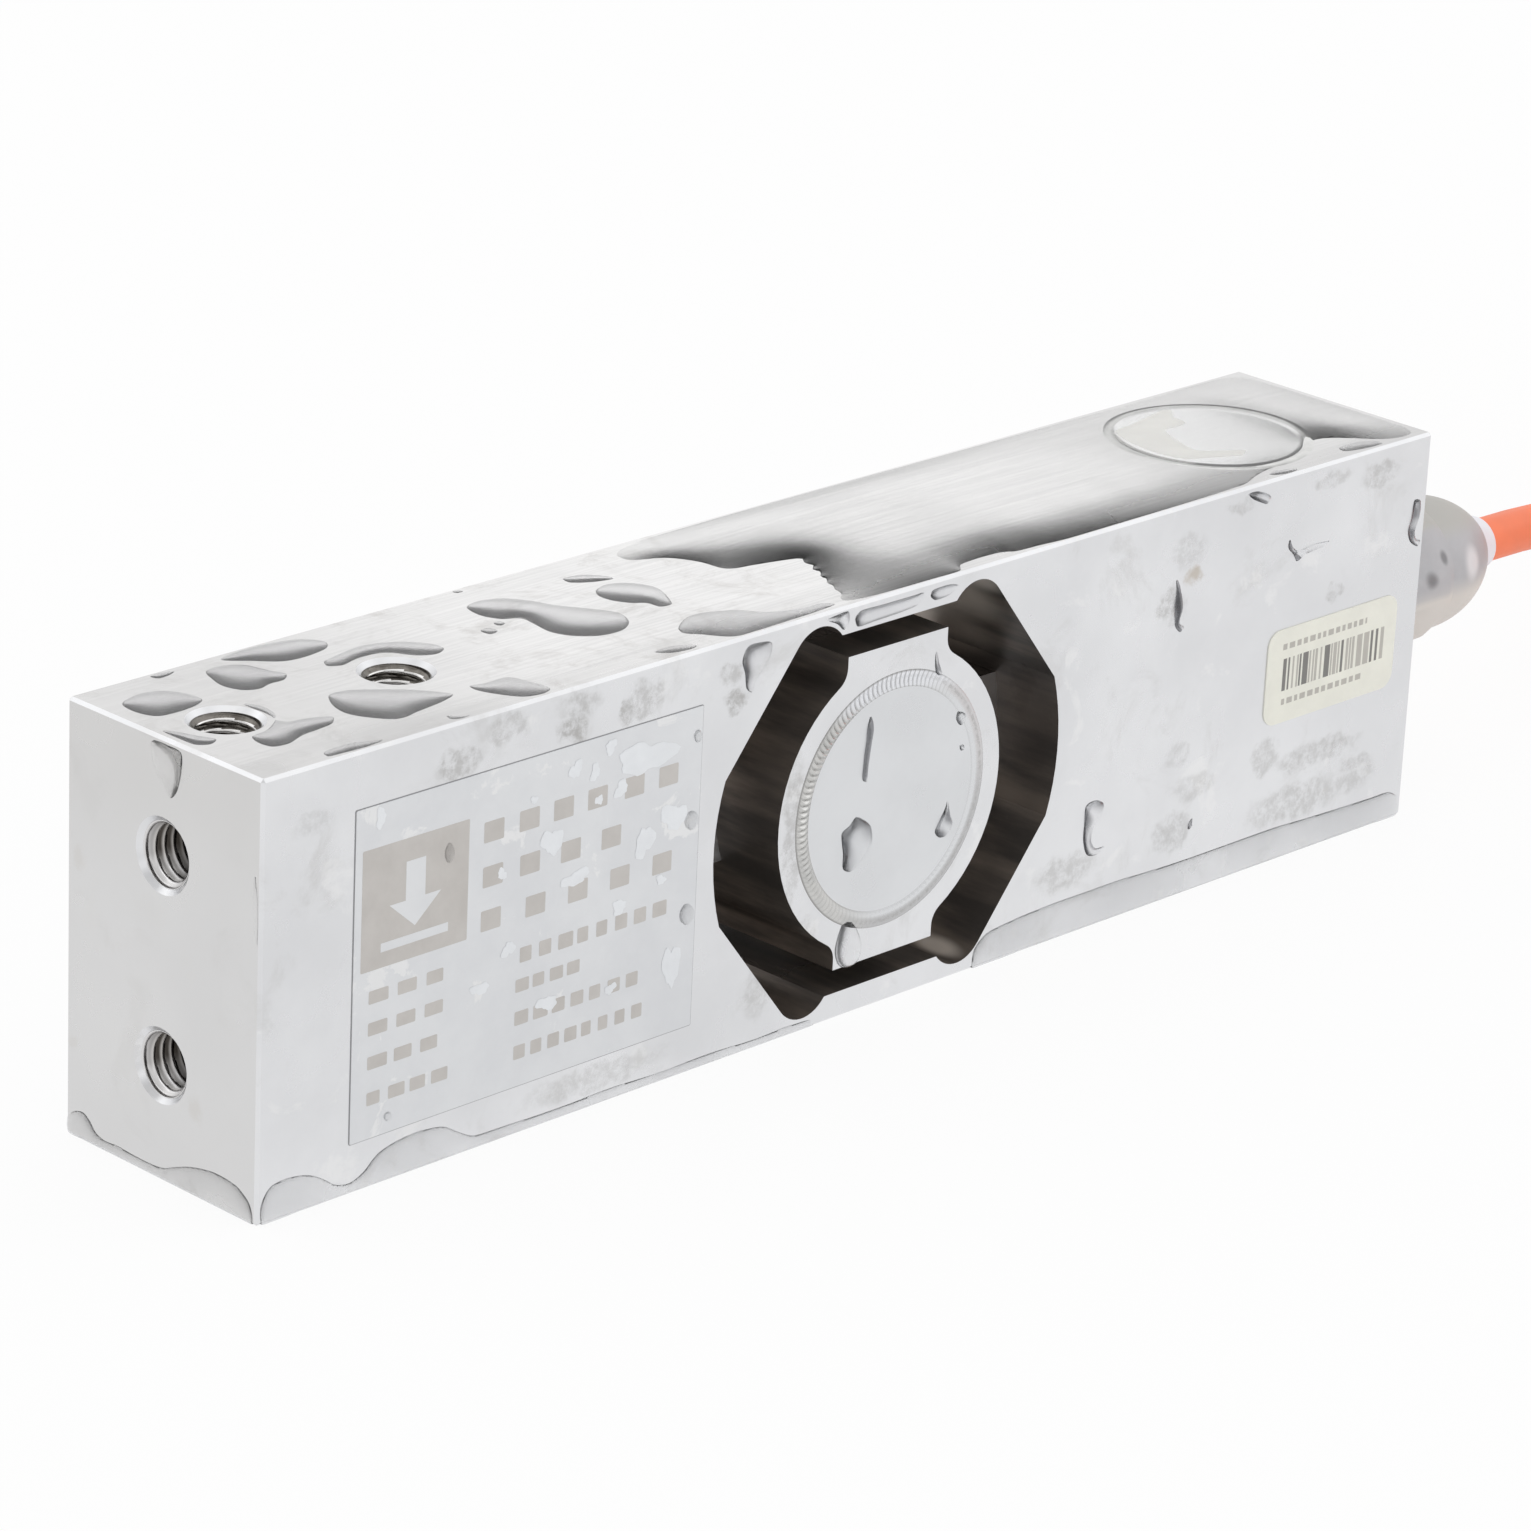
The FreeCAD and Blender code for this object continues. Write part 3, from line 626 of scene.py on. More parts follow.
def flying_leads():
    """Four stripped cores at the cable's end, each with a bare twisted tip."""
    core_apart, core_radius, core_length = 1.3, 0.46, 28.5
    tip_radius, tip_length, tip_inside = 0.28, 6, 0.5
    made = []
    for k, (name, core) in enumerate(CORES.items()):
        row, level = HANK_Y - INNER + (k // 2 - 0.5) * core_apart, 0.48 + k % 2 * core_apart
        sleeve = []
        for t in (j / 24 for j in range(25)):
            y, z = row + 0.1 * math.sin(5 * t + 2 * k), level + 0.02 * math.sin(9 * t + k)
            sleeve.append((NEAR_X + LEAD - core_length * t, y, z))
        x, y, z = sleeve[-1]
        tip = [(x + tip_inside - tip_length * j / 8, y, z) for j in range(9)]
        shape = Shape()
        tube(shape, sleeve, core_radius, 14)
        split = len(shape.faces)
        tube(shape, tip, tip_radius, 10)
        lead = piece("flying_lead_%d_wire" % (k + 1), shape, [core, COPPER], sharp=40)
        for polygon in lead.data.polygons[split:]:
            polygon.material_index = 1
        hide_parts("flying_lead_%d" % (k + 1))
        made.append(lead)
    return made


TIE_HALF = 1.3
TIE_THICK = 0.9
TIE_CHAMFER = 0.2
# half width, half depth, height
TIE_HEAD = (
    (2, 1.9, 0), (2.25, 2.15, 0.3), (2.25, 2.15, 2.2), (2, 1.9, 2.6), (1.45, 0.6, 2.6), (1.45, 0.6, 1.2),
)
TIE_TAIL = (TIE_HALF, 0.4, 1), (TIE_HALF, 0.4, 3.1)


def cable_tie(name, node_name, x, side):
    """Strap drawn tight round one side of the hank, with its locking head and cut tail on top."""
    runs = []
    points = hank_points()
    for a, b in zip(points, points[1:]):
        t = (x - a[0]) / (b[0] - a[0]) if a[0] != b[0] else -1
        y, z = a[1] + t * (b[1] - a[1]), a[2] + t * (b[2] - a[2])
        if 0 <= t < 1 and side * (y - HANK_Y) > 0:
            runs.append((y, z))
    section = [(-TIE_HALF, 0.05), (-TIE_HALF, TIE_THICK - TIE_CHAMFER), (-TIE_HALF + TIE_CHAMFER, TIE_THICK)]
    section += [(-u, lift) for u, lift in reversed(section)]
    section = [(u, CABLE / 2 + lift, TIE_THICK - lift) for u, lift in section]
    strap = []
    for _, c, s in circle(96):
        y, z = max(runs, key=lambda p: p[0] * c + p[1] * s)
        strap.append([(x + u, y + reach * c, max(z + reach * s, low)) for u, reach, low in section])
    shape = Shape()
    shape.loft(strap, closed=True)
    y, z = max(runs, key=lambda p: p[1])
    base = z + CABLE / 2 + 0.2
    for block, radius, steps in ((TIE_HEAD, 0.35, 4), (TIE_TAIL, 0.15, 3)):
        rows = []
        for wide, deep, lift in block:
            outline = rounded(-wide, wide, -deep, deep, radius, steps)
            rows.append([(x + u, y + w, base + lift) for u, w in outline])
        shape.loft(rows)
    made = piece(name, shape, TIE, sharp=35)
    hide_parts(node_name)
    return made


CABLE_PIECE = cable()
LEADS = flying_leads()
TIES = [
    cable_tie("near_tie_strap", "cable_tie_near", FAR_X - 26, 1),
    cable_tie("far_tie_strap", "cable_tie_far", FAR_X - 8, -1),
]


# ---- gland

GLAND_STEPS = 96


def gland_row(x, radii):
    """Ring about the gland's axis, with one radius or a list of them."""
    radii = radii if isinstance(radii, list) else [radii] * GLAND_STEPS
    return [(x, r * c, MIDDLE + r * s) for (_, c, s), r in zip(circle(GLAND_STEPS), radii)]


def gland_nut():
    """Dome nut: hexagon with rounded corners, barrel, smooth dome and the bright collar round the cable."""
    start, hex_end, barrel_end, dome_end, mouth = 80.4, 87.8, 89.15, 97.85, 99.9
    inner, collar, barrel, hex_flat, bore = 2.6, 3.1, 6.9, 7, 5.45
    sweep = 2 * math.atan((barrel - collar) / (dome_end - barrel_end))
    dome_radius = (dome_end - barrel_end) / math.sin(sweep)
    profile = [(hex_end - 0.8, inner), (hex_end - 0.8, barrel)]
    for a in (sweep * k / 24 for k in range(25)):
        profile.append((barrel_end + dome_radius * math.sin(a), barrel - dome_radius * (1 - math.cos(a))))
    profile += [(dome_end + 0.05, collar - 0.03), (mouth - 0.3, collar - 0.28), (mouth - 0.08, collar - 0.36)]
    profile += [(mouth, collar - 0.46), (mouth, inner)]
    corner = 2 * hex_flat / math.sqrt(3) - 0.6
    folds = [a % (math.pi / 3) - math.pi / 6 for a, _, _ in circle(GLAND_STEPS)]
    hexagon = [min(hex_flat / math.cos(fold), corner) for fold in folds]
    last = hex_end - 0.05
    block = [(start, hex_flat), (start + 0.5, hexagon), (hex_end - 1.3, hexagon), (last, hex_flat)]
    block += [(last, bore), (start, bore)]
    shape = Shape()
    for rows in (profile, block):
        shape.loft([gland_row(*row) for row in rows], flip=True, closed=True)
    made = piece("gland_nut_dome", shape, [PLATED, COLLAR], sharp=32)
    second_look(made, lambda c: c.x > dome_end)
    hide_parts("gland_nut")
    return made


GLAND_NUT = gland_nut()
ON_CABLE = LEADS + TIES + [GLAND_NUT]
ON_CABLE += [nodes[n] for n in ("gland_body", "gland_oring", "gland_seal", "cable_inlet")]


# ---- covers and weld seams

TOP_COVER_X = 56
RIPPLE_HEIGHT = 0.26
RIPPLE_SIDE = 2.5


def round_cover(name, node_name, profile, count, place, looks, ripples=0):
    """Turned cover from (radius, height) points, height outwards; place turns (u, v, height) into a point."""
    rows = []
    for radius, lift in profile[1:]:
        across = (radius - BEAD) / BEAD_HALF
        row = []
        for a, c, s in circle(count):
            wave = 0
            if ripples and abs(across) < 1:
                phase = ripples * a / (2 * math.pi) + RIPPLE_LEAN * across * across
                worked = 0.15 + 0.85 * max(0, math.cos(a - RIPPLE_SIDE))
                wave = RIPPLE_HEIGHT * (1 - across * across) * worked * (2 * abs((phase % 1) - 0.5) - 0.5)
            row.append(place(radius * c, radius * s, lift + wave))
        rows.append(row)
    shape = Shape()
    centre = shape.row([place(0, 0, profile[0][1])])[0]
    rows = shape.loft(rows, flip=True, capped=False)
    for k in range(count):
        shape.face((centre, rows[0][k - 1], rows[0][k]))
    shape.face(rows[-1], flip=True)
    made = piece(name, shape, looks, sharp=50)
    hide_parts(node_name)
    return made


def gauge_covers():
    profile = [(0, 0), (3, 0), (6, 0), (9, 0), (10.4, 0)]
    profile += [(BEAD + BEAD_HALF * t, 0.16 * (1 - t * t)) for t in (k / 5 for k in range(-5, 6))]
    profile += [(12.3, -0.03), (11.6, -0.2), (11.6, -1.2)]
    looks = [COVER_STEEL, WELD_STEEL]
    for side, label in ((-1, "front"), (1, "rear")):
        def place(u, w, h, side=side):
            return (-side * u, side * (HALF_WIDTH + h), MIDDLE + w)
        names = label + "_cover_seam", label + "_gauge_cover"
        made = round_cover(*names, profile, 12 * RIPPLES, place, looks, RIPPLES)
        second_look(made, lambda c: BEAD - BEAD_HALF - 0.05 < math.hypot(c.x, c.z - MIDDLE) < 12.4)


def top_cover():
    profile = [(0, 0), (4, 0), (8.6, 0), (9, 0), (9.2, 0.05), (9.6, 0.09)]
    profile += [(10, 0.06), (10.3, -0.03), (9.8, -0.2), (9.8, -1.2)]

    def place(u, w, h):
        return (TOP_COVER_X + u, w, HEIGHT + h)
    looks = [TOP_COVER_STEEL, TOP_WELD_STEEL]
    made = round_cover("top_cover_seam", "electronics_cover", profile, 160, place, looks)
    second_look(made, lambda c: 9.1 < math.hypot(c.x - TOP_COVER_X, c.y) < 10.35)


gauge_covers()
top_cover()


# ---- threads

THREAD_START = 0.42
THREAD_PITCH = 1
THREAD_ROOT = 2.93
THREAD_RIDGE = 0.46
THREAD_BACK = 2.985
CREST_REACH = 2.6
HOLE_FROM_END = 6.7


def thread(name, mouth, inward, depth, root, crest):
    """Screw thread in a blind hole: ridges wind from the countersink to the bottom."""
    mouth, inward = Vector(mouth), Vector(inward)
    u = inward.orthogonal().normalized()
    w = inward.cross(u)

    def row(deep, back=False):
        fade = min(1, max(0, (deep - THREAD_START) / 0.5))
        points = []
        for a, c, s in circle(60):
            t = (deep / THREAD_PITCH - a / (2 * math.pi)) % 1
            ridge = min(1, max(0, 1.3 * (1 - abs(2 * t - 1)) - 0.1))
            r = THREAD_BACK if back else THREAD_ROOT - THREAD_RIDGE * ridge * fade
            points.append(tuple(mouth + inward * deep + (u * c + w * s) * r))
        return points

    def on_crest(centre):
        off = centre - mouth
        along = off.dot(inward)
        return (off - inward * along).length < CREST_REACH and along < depth - 0.3
    length = depth - 0.5
    steps = int(length * 10)
    wound = [row(THREAD_START + length * j / steps) for j in range(steps + 1)]
    shape = Shape()
    shape.loft([row(THREAD_START, True)] + wound + [row(depth - 0.08, True)], closed=True)
    made = piece(name, shape, [root, crest], sharp=60)
    second_look(made, on_crest)


for k in range(2):
    along = HALF_LENGTH - HOLE_FROM_END - HOLES_APART * k
    level = MIDDLE + (k - 0.5) * HOLES_APART
    thread("top_thread_%d" % (k + 1), (-along, 0, HEIGHT), (0, 0, -1), 6.3, SHADED_THREAD_ROOT, CREST)
    thread("end_thread_%d" % (k + 1), (-HALF_LENGTH, 0, level), (1, 0, 0), 13, END_THREAD, END_THREAD)
    thread("base_thread_%d" % (k + 1), (along, 0, 0), (0, 0, 1), 11, SHADED_THREAD_ROOT, CREST)


# ---- labels on the front face

# x, z, half width, half height
LABEL_PATCHES = [
    (-31.4, 31.6, 2.9, 1.6), (-39.8, 32.5, 0.7, 0.8), (-37.5, 31.7, 0.6, 0.7), (-35.7, 33.6, 0.7, 0.6),
    (-34.3, 29.4, 0.8, 0.7), (-27.7, 25.2, 1.4, 1.3), (-62.1, 33.6, 0.6, 0.8), (-42.3, 26.5, 1.1, 1.3),
    (-31.2, 23.7, 1, 1.5), (-39.4, 22.4, 1.5, 0.7), (-48.1, 25, 0.5, 0.5), (-34, 18.3, 0.9, 0.6),
    (-47.1, 17.8, 0.7, 0.7), (-27.3, 11, 0.9, 2.2), (-50.3, 15, 0.9, 0.6), (-42.3, 11.5, 1.1, 0.7),
    (-34.7, 10.8, 0.6, 0.5), (-36.9, 29, 0.4, 0.5), (-44.6, 30.9, 0.35, 0.4), (-29, 19.6, 0.6, 0.4),
]
EMBLEM = (-64, -52, 20, 31)
ARROW = [
    (-59.1, 28.9), (-59.1, 25.4), (-60.9, 25.4), (-58, 22.9), (-55.1, 25.4), (-56.9, 25.4), (-56.9, 28.9),
]
LETTER_WIDTH = 2.3
# lower edge, upper edge, letters' left edges
LETTER_ROWS = [
    (28.3, 30.2, (-50.3, -46.2, -42.2, -38.2, -33.8, -29.7)),
    (24.2, 26.1, (-50.3, -46, -41.2, -36.4)),
    (20.2, 22.1, (-50.4, -45.2, -40.2, -35.2, -30.1)),
]
# lower edge, upper edge, left end, right end, letters
SMALL_ROWS = [
    (16.8, 18.3, -63, -53.2, 3), (13.9, 15.4, -63, -53.4, 3), (10.8, 12.3, -63, -54, 3),
    (7.5, 9, -63, -53.2, 4), (16, 17.7, -45.7, -27.6, 8), (13.3, 14.8, -46.1, -38, 4),
    (10.2, 11.8, -46.1, -30.6, 7), (7, 8.6, -46.1, -30, 8),
]
STICKER_ROWS = [(22.05, 22.65, 54.4, 67), (16.35, 16.95, 54.7, 66.8)]
SUNK = -0.02


def plates(name, outlines, level, thickness, look):
    """Piece of thin plates on the front face from (x, z) outlines, level above the face."""
    shape = Shape()
    back = -HALF_WIDTH - level
    for outline in outlines:
        shape.loft([[(x, y, z) for x, z in outline] for y in (back - thickness, back)], flip=True)
    piece(name, shape, look, smooth=False)


def nameplate():
    """Foil plate with a dark line round it as painted shadow, an emblem with a load arrow, plain blocks and dried
    water marks.
    """
    # dark sheet showing round the foil's rim: painted shadow along the plate's edge
    plates("nameplate_shadow_line", [rounded(-64.88, -24.52, 4.52, 34.88, 0.2)], SUNK, 0.05, NAMEPLATE_SHADOW_LINE)
    plates("nameplate", [rounded(-64.8, -24.6, 4.6, 34.8, 0.15)], SUNK, 0.1, FOIL)
    bars = [EMBLEM]
    for z0, z1, starts in LETTER_ROWS:
        bars += [(x, x + LETTER_WIDTH, z0, z1) for x in starts]
    draw = random.Random(11)
    for z0, z1, x0, x1, letters in SMALL_ROWS:
        pitch = (x1 - x0) / letters
        for k in range(letters):
            trim = 0.22 * pitch * draw.random()
            bars.append((x0 + k * pitch, x0 + (k + 0.78) * pitch - trim, z0 + 0.15, z1 - 0.15))
    plates("nameplate_marks", [rounded(*bar, 0.12, 2) for bar in bars], 0.078, 0.012, PRINT)
    plates("nameplate_arrow", [ARROW, box(-61.8, -54.2, 21.4, 22.2)], 0.088, 0.01, FOIL)
    dried = []
    for x, z, wide, high in LABEL_PATCHES:
        waves = [(size, count, draw.uniform(0, 6.28)) for size, count in ((0.22, 2), (0.16, 3), (0.09, 7))]
        outline = []
        for a, c, s in circle(26):
            wobble = 1 + sum(size * math.sin(count * a + phase) for size, count, phase in waves)
            outline.append((x + wide * wobble * c, z + high * wobble * s))
        dried.append(outline)
    plates("nameplate_residue", dried, 0.095, 0.006, LABEL_RESIDUE)


def sticker():
    """Small paper sticker with plain bars between two rows of blocks."""
    plates("sticker", [rounded(52.2, 71.6, 14.5, 24.2, 1.6)], SUNK, 0.13, CREAM)
    ink, pale = [], []
    draw = random.Random(7)
    x = 54.6
    while x < 69.4:
        width = draw.choice((0.25, 0.35, 0.5, 0.8))
        draw.choice((ink, pale, pale)).append(box(x, x + width, 17.8, 21.1))
        x += width + draw.choice((0.15, 0.25, 0.4))
    for z0, z1, x, end in STICKER_ROWS:
        while x < end:
            width = draw.choice((0.45, 0.6, 0.8))
            pale.append(box(x, min(x + width, end), z0, z1))
            x += width + 0.35
    plates("sticker_bars", ink, 0.108, 0.01, INK)
    plates("sticker_pale_bars", pale, 0.108, 0.01, PALE_INK)


nameplate()
sticker()


# ---- water

def smooth_ring(points, step, floor=None):
    """Closed smooth line through the points, with even spacing."""
    points = np.array(points, float)
    following = np.roll(points, -1, axis=0)
    ahead = following - points
    size = np.hypot(*ahead.T)[:, None]
    before, before_size = np.roll(ahead, 1, axis=0), np.roll(size, 1, axis=0)
    lean = (ahead / size * before_size + before / before_size * size) / (size + before_size)
    lean = lean * np.minimum(size, before_size)
    t = np.linspace(0, 1, 12, endpoint=False)[:, None]
    fine = (2 * t ** 3 - 3 * t * t + 1) * points[:, None] + (t ** 3 - 2 * t * t + t) * lean[:, None]
    fine = fine + (3 * t * t - 2 * t ** 3) * following[:, None]
    fine = fine + (t ** 3 - t * t) * np.roll(lean, -1, axis=0)[:, None]
    fine = fine.reshape(-1, 2)
    if floor is not None:
        fine[:, 1] = np.maximum(fine[:, 1], floor)
    closed = np.vstack([fine, fine[:1]])
    travel = np.r_[0, np.cumsum(np.hypot(*np.diff(closed, axis=0).T))]
    n = max(14, int(travel[-1] / step))
    at = np.linspace(0, travel[-1], n, endpoint=False)
    return np.c_[np.interp(at, travel, closed[:, 0]), np.interp(at, travel, closed[:, 1])]


def within(ring, points, margin):
    """Which points lie inside the ring and at least margin away from it."""
    start = ring @ (1, 1j)
    side = np.roll(start, -1) - start
    off = start - (points @ (1, 1j))[:, None]
    gap = np.abs(off + np.clip((-off / side).real, 0, 1) * side).min(axis=1)
    turns = np.angle((off + side) / off).sum(axis=1)
    return (np.abs(turns) > 1) & (gap > margin)


def turned(a, b, c):
    """Twice the area of a triangle, above zero where its corners go round to the left."""
    one, other = (b - a).T, (c - a).T
    return one[0] * other[1] - one[1] * other[0]


def pool_heights(points, triangles, free, reach, sag, thin):
    """Height of a lying drop: a skin under even pressure, flattened by its own weight over reach."""
    a, b, c = (points[triangles[:, k]] for k in range(3))
    area = np.abs(0.5 * turned(a, b, c)) + 1e-9
    edge = [c - b, a - c, b - a]
    n = len(points)
    load = np.zeros(n)
    rows, cols, vals = [], [], []
    for i in range(3):
        load += np.bincount(triangles[:, i], area / 3, n)
        for j in range(3):
            rows.append(triangles[:, i])
            cols.append(triangles[:, j])
            vals.append((edge[i] * edge[j]).sum(axis=1) / (4 * area))
    rows, cols, vals = np.concatenate(rows), np.concatenate(cols), np.concatenate(vals)
    along, depth, stretch = zip(*thin)
    weight = load / (reach * np.interp(points[:, 0], along, stretch)) ** 2
    diag = np.bincount(rows[rows == cols], vals[rows == cols], n) + weight
    low, high = points[:, 1].min(), points[:, 1].max()
    press = weight * (1 + sag * (high - points[:, 1]) / max(high - low, 1e-6))
    press = press * np.interp(points[:, 0], along, depth)
    h = np.zeros(n)
    r = np.where(free, press, 0)
    z = r / diag
    p = z.copy()
    old = r @ z
    for _ in range(600):
        q = np.where(free, np.bincount(rows, vals * p[cols], n) + weight * p, 0)
        share = old / max(p @ q, 1e-30)
        h += share * p
        r -= share * q
        z = r / diag
        new = r @ z
        if new < 1e-16:
            break
        p = z + new / old * p
        old = new
    return h


def add_pool(shape, outline, place, height, reach, step, sag, sink, floor=None, thin=((0, 1, 1),)):
    """Adds one drop or film over an outline; place turns (u, v, height) into a point.

    The rim lies sink under the face, sag leans the drop down v, floor keeps its outline up,
    and thin gives shares of depth and reach along u.
    """
    ring = smooth_ring(outline, step, floor)
    low, high = ring.min(axis=0), ring.max(axis=0)
    grid = []
    for j, y in enumerate(np.arange(low[1], high[1], step * 0.866)):
        for x in np.arange(low[0] + (j % 2) * step / 2, high[0], step):
            grid.append((x, y))
    grid = np.array(grid)
    flat = np.vstack([ring, grid[within(ring, grid, 0.45 * step)]])
    n = len(ring)
    found = delaunay_2d_cdt([Vector(p) for p in flat], [(k, (k + 1) % n) for k in range(n)], [], 1, 1e-6)
    points = np.array([tuple(p) for p in found[0]])
    triangles = np.array(found[2])
    rim = np.array([any(s < n for s in sources) for sources in found[3]])
    h = pool_heights(points, triangles, ~rim, reach, sag, thin)
    h = h / h.max() * (height + sink) - sink
    over = shape.row(place(u, v, t) for (u, v), t in zip(points, h))
    under = shape.row(place(u, v, -sink - 0.12) for u, v in points)
    sides = []
    for t in triangles.tolist():
        if turned(*points[t]) < 0:
            t.reverse()
        shape.face([over[i] for i in t])
        shape.face([under[i] for i in t], flip=True)
        sides += zip(t, t[1:] + t[:1])
    for i, j in sorted(set(sides) - {(j, i) for i, j in sides}):
        shape.face((over[j], over[i], under[i], under[j]))


def corners(flat):
    """Outline points from a flat row of numbers in tenths of a millimetre."""
    return [(u / 10, v / 10) for u, v in zip(flat[::2], flat[1::2])]


def pools(name, look, *groups):
    """Piece of drops, in groups of rows, a place, a share of each row's depth and the pool's settings."""
    shape = Shape()
    for rows, place, share, settings in groups:
        for depth, *outline in rows:
            add_pool(shape, corners(outline), place, share * depth, *settings)
    piece(name, shape, look)


def on_top(u, v, h):
    return (u, v, HEIGHT + h)


def on_front(u, v, h):
    return (u, -HALF_WIDTH - h, v)


def on_end(u, v, h):
    return (-HALF_LENGTH - h, -u, v)


# Each row of drops has its depth in millimetres and then its outline in tenths of a millimetre.
TOP_DROPS = [
    (0.75, -727, 82, -697, 92, -677, 84, -667, 64, -667, 48, -679, 41, -702, 38, -722, 41, -730, 57),
    (0.7, -649, 22, -640, 13, -638, -4, -643, -19, -649, -28, -646, -35, -629, -38, -608, -49, -618, -61, -637,
     -65, -656, -67, -679, -75, -694, -72, -697, -55, -692, -43, -675, -40, -653, -26, -648, -8, -649, 9),
    (0.5, -741, 16, -733, 6, -725, -13, -718, -30, -730, -36, -740, -30, -742, -11),
    (0.75, -594, 113, -564, 120, -535, 119, -504, 110, -492, 92, -500, 80, -522, 74, -552, 76, -574, 94),
    (0.8, -621, 99, -603, 102, -585, 92, -577, 69, -571, 52, -582, 42, -598, 42, -613, 38, -626, 44, -633, 62,
     -629, 82),
    (0.7, -527, 55, -505, 61, -474, 65, -442, 53, -422, 28, -423, 16, -437, 9, -453, 16, -471, 39, -496, 43, -521,
     38, -532, 45),
    (0.9, -576, -8, -558, -9, -532, -26, -508, -48, -493, -73, -511, -80, -544, -85, -569, -88, -586, -71, -595,
     -51, -591, -29),
    (0.6, -470, -65, -454, -69, -428, -70, -421, -89, -419, -114, -431, -119, -450, -115, -465, -95, -472, -77),
    (0.2, -532, -105, -524, -114, -512, -118, -525, -120, -535, -116),
    (0.3, -671, -108, -643, -104, -621, -110, -608, -117, -630, -120, -656, -119, -674, -117),
    (1, -337, 82, -319, 88, -297, 81, -281, 61, -270, 36, -253, 12, -241, -11, -250, -34, -269, -46, -296, -44,
     -316, -28, -323, -10, -320, 14, -319, 31, -334, 40, -342, 58),
    (0.4, -219, 85, -196, 82, -180, 62, -181, 56, -205, 62, -221, 74),
    (0.7, -218, 43, -197, 50, -177, 39, -168, 17, -173, 1, -189, -25, -202, -23, -204, -9, -215, 0, -224, 16, -225,
     31),
    (0.2, -369, 30, -357, 31, -356, 20, -368, 17),
    (0.15, -347, 37, -338, 38, -338, 30, -347, 28),
    (0.12, -320, 120, -312, 120, -310, 114, -319, 114),
    (0.25, -667, 118, -653, 120, -640, 115, -653, 110, -664, 110),
    (0.7, -230, -74, -196, -55, -154, -69, -136, -90, -108, -102, -80, -104, -70, -114, -101, -118, -136, -119,
     -176, -120, -205, -118, -223, -97, -234, -84),
    (0.3, -289, -103, -264, -101, -243, -114, -254, -118, -277, -114),
    (0.3, 518, -113, 532, -108, 556, -116, 553, -120, 532, -120.5),
    (0.3, 634, -101, 664, -98, 685, -109, 684, -117, 655, -117, 632, -110),
]
FILM = (
    0.68, -144, 104, -142, 79, -108, 67, -91, 40, -88, 10, -55, 3, -10, -9, -19, -19, -15, -27, -26, -35, -23, -44,
    -34, -52, -32, -60, -43, -69, -41, -77, -49, -85, -49, -93, -79, -106, -114, -113, -116, -120, -80, -121, -40,
    -121.5, 0, -121.5, 40, -121.5, 84, -121, 92, -111, 120, -108, 150, -110, 160, -116, 190, -118, 220, -121, 250,
    -121.5, 300, -121.5, 350, -121.5, 400, -121.5, 447, -121, 483, -119, 506, -110, 532, -104, 565, -103, 596, -98,
    618, -86, 630, -73, 642, -72, 654, -77, 666, -87, 680, -101, 696, -115, 715, -120, 732, -120, 742, -110, 743,
    -60, 743, 0, 743, 60, 740, 112, 720, 120, 680, 121, 600, 121, 500, 121, 400, 121, 300, 121, 200, 121, 100, 121,
    0, 121, -80, 120, -120, 116,
)
# x, share of depth, share of reach
FILM_DEPTHS = (
    (-6, 0.7, 1.5), (0, 0.76, 1.15), (6, 0.9, 0.88), (16, 0.95, 0.9), (22, 1, 0.9), (32, 0.82, 1.1),
    (44, 0.5, 1.3), (52, 0.3, 1), (63, 0.26, 1.2), (68, 0.8, 1.65), (75, 0.6, 1.65),
)
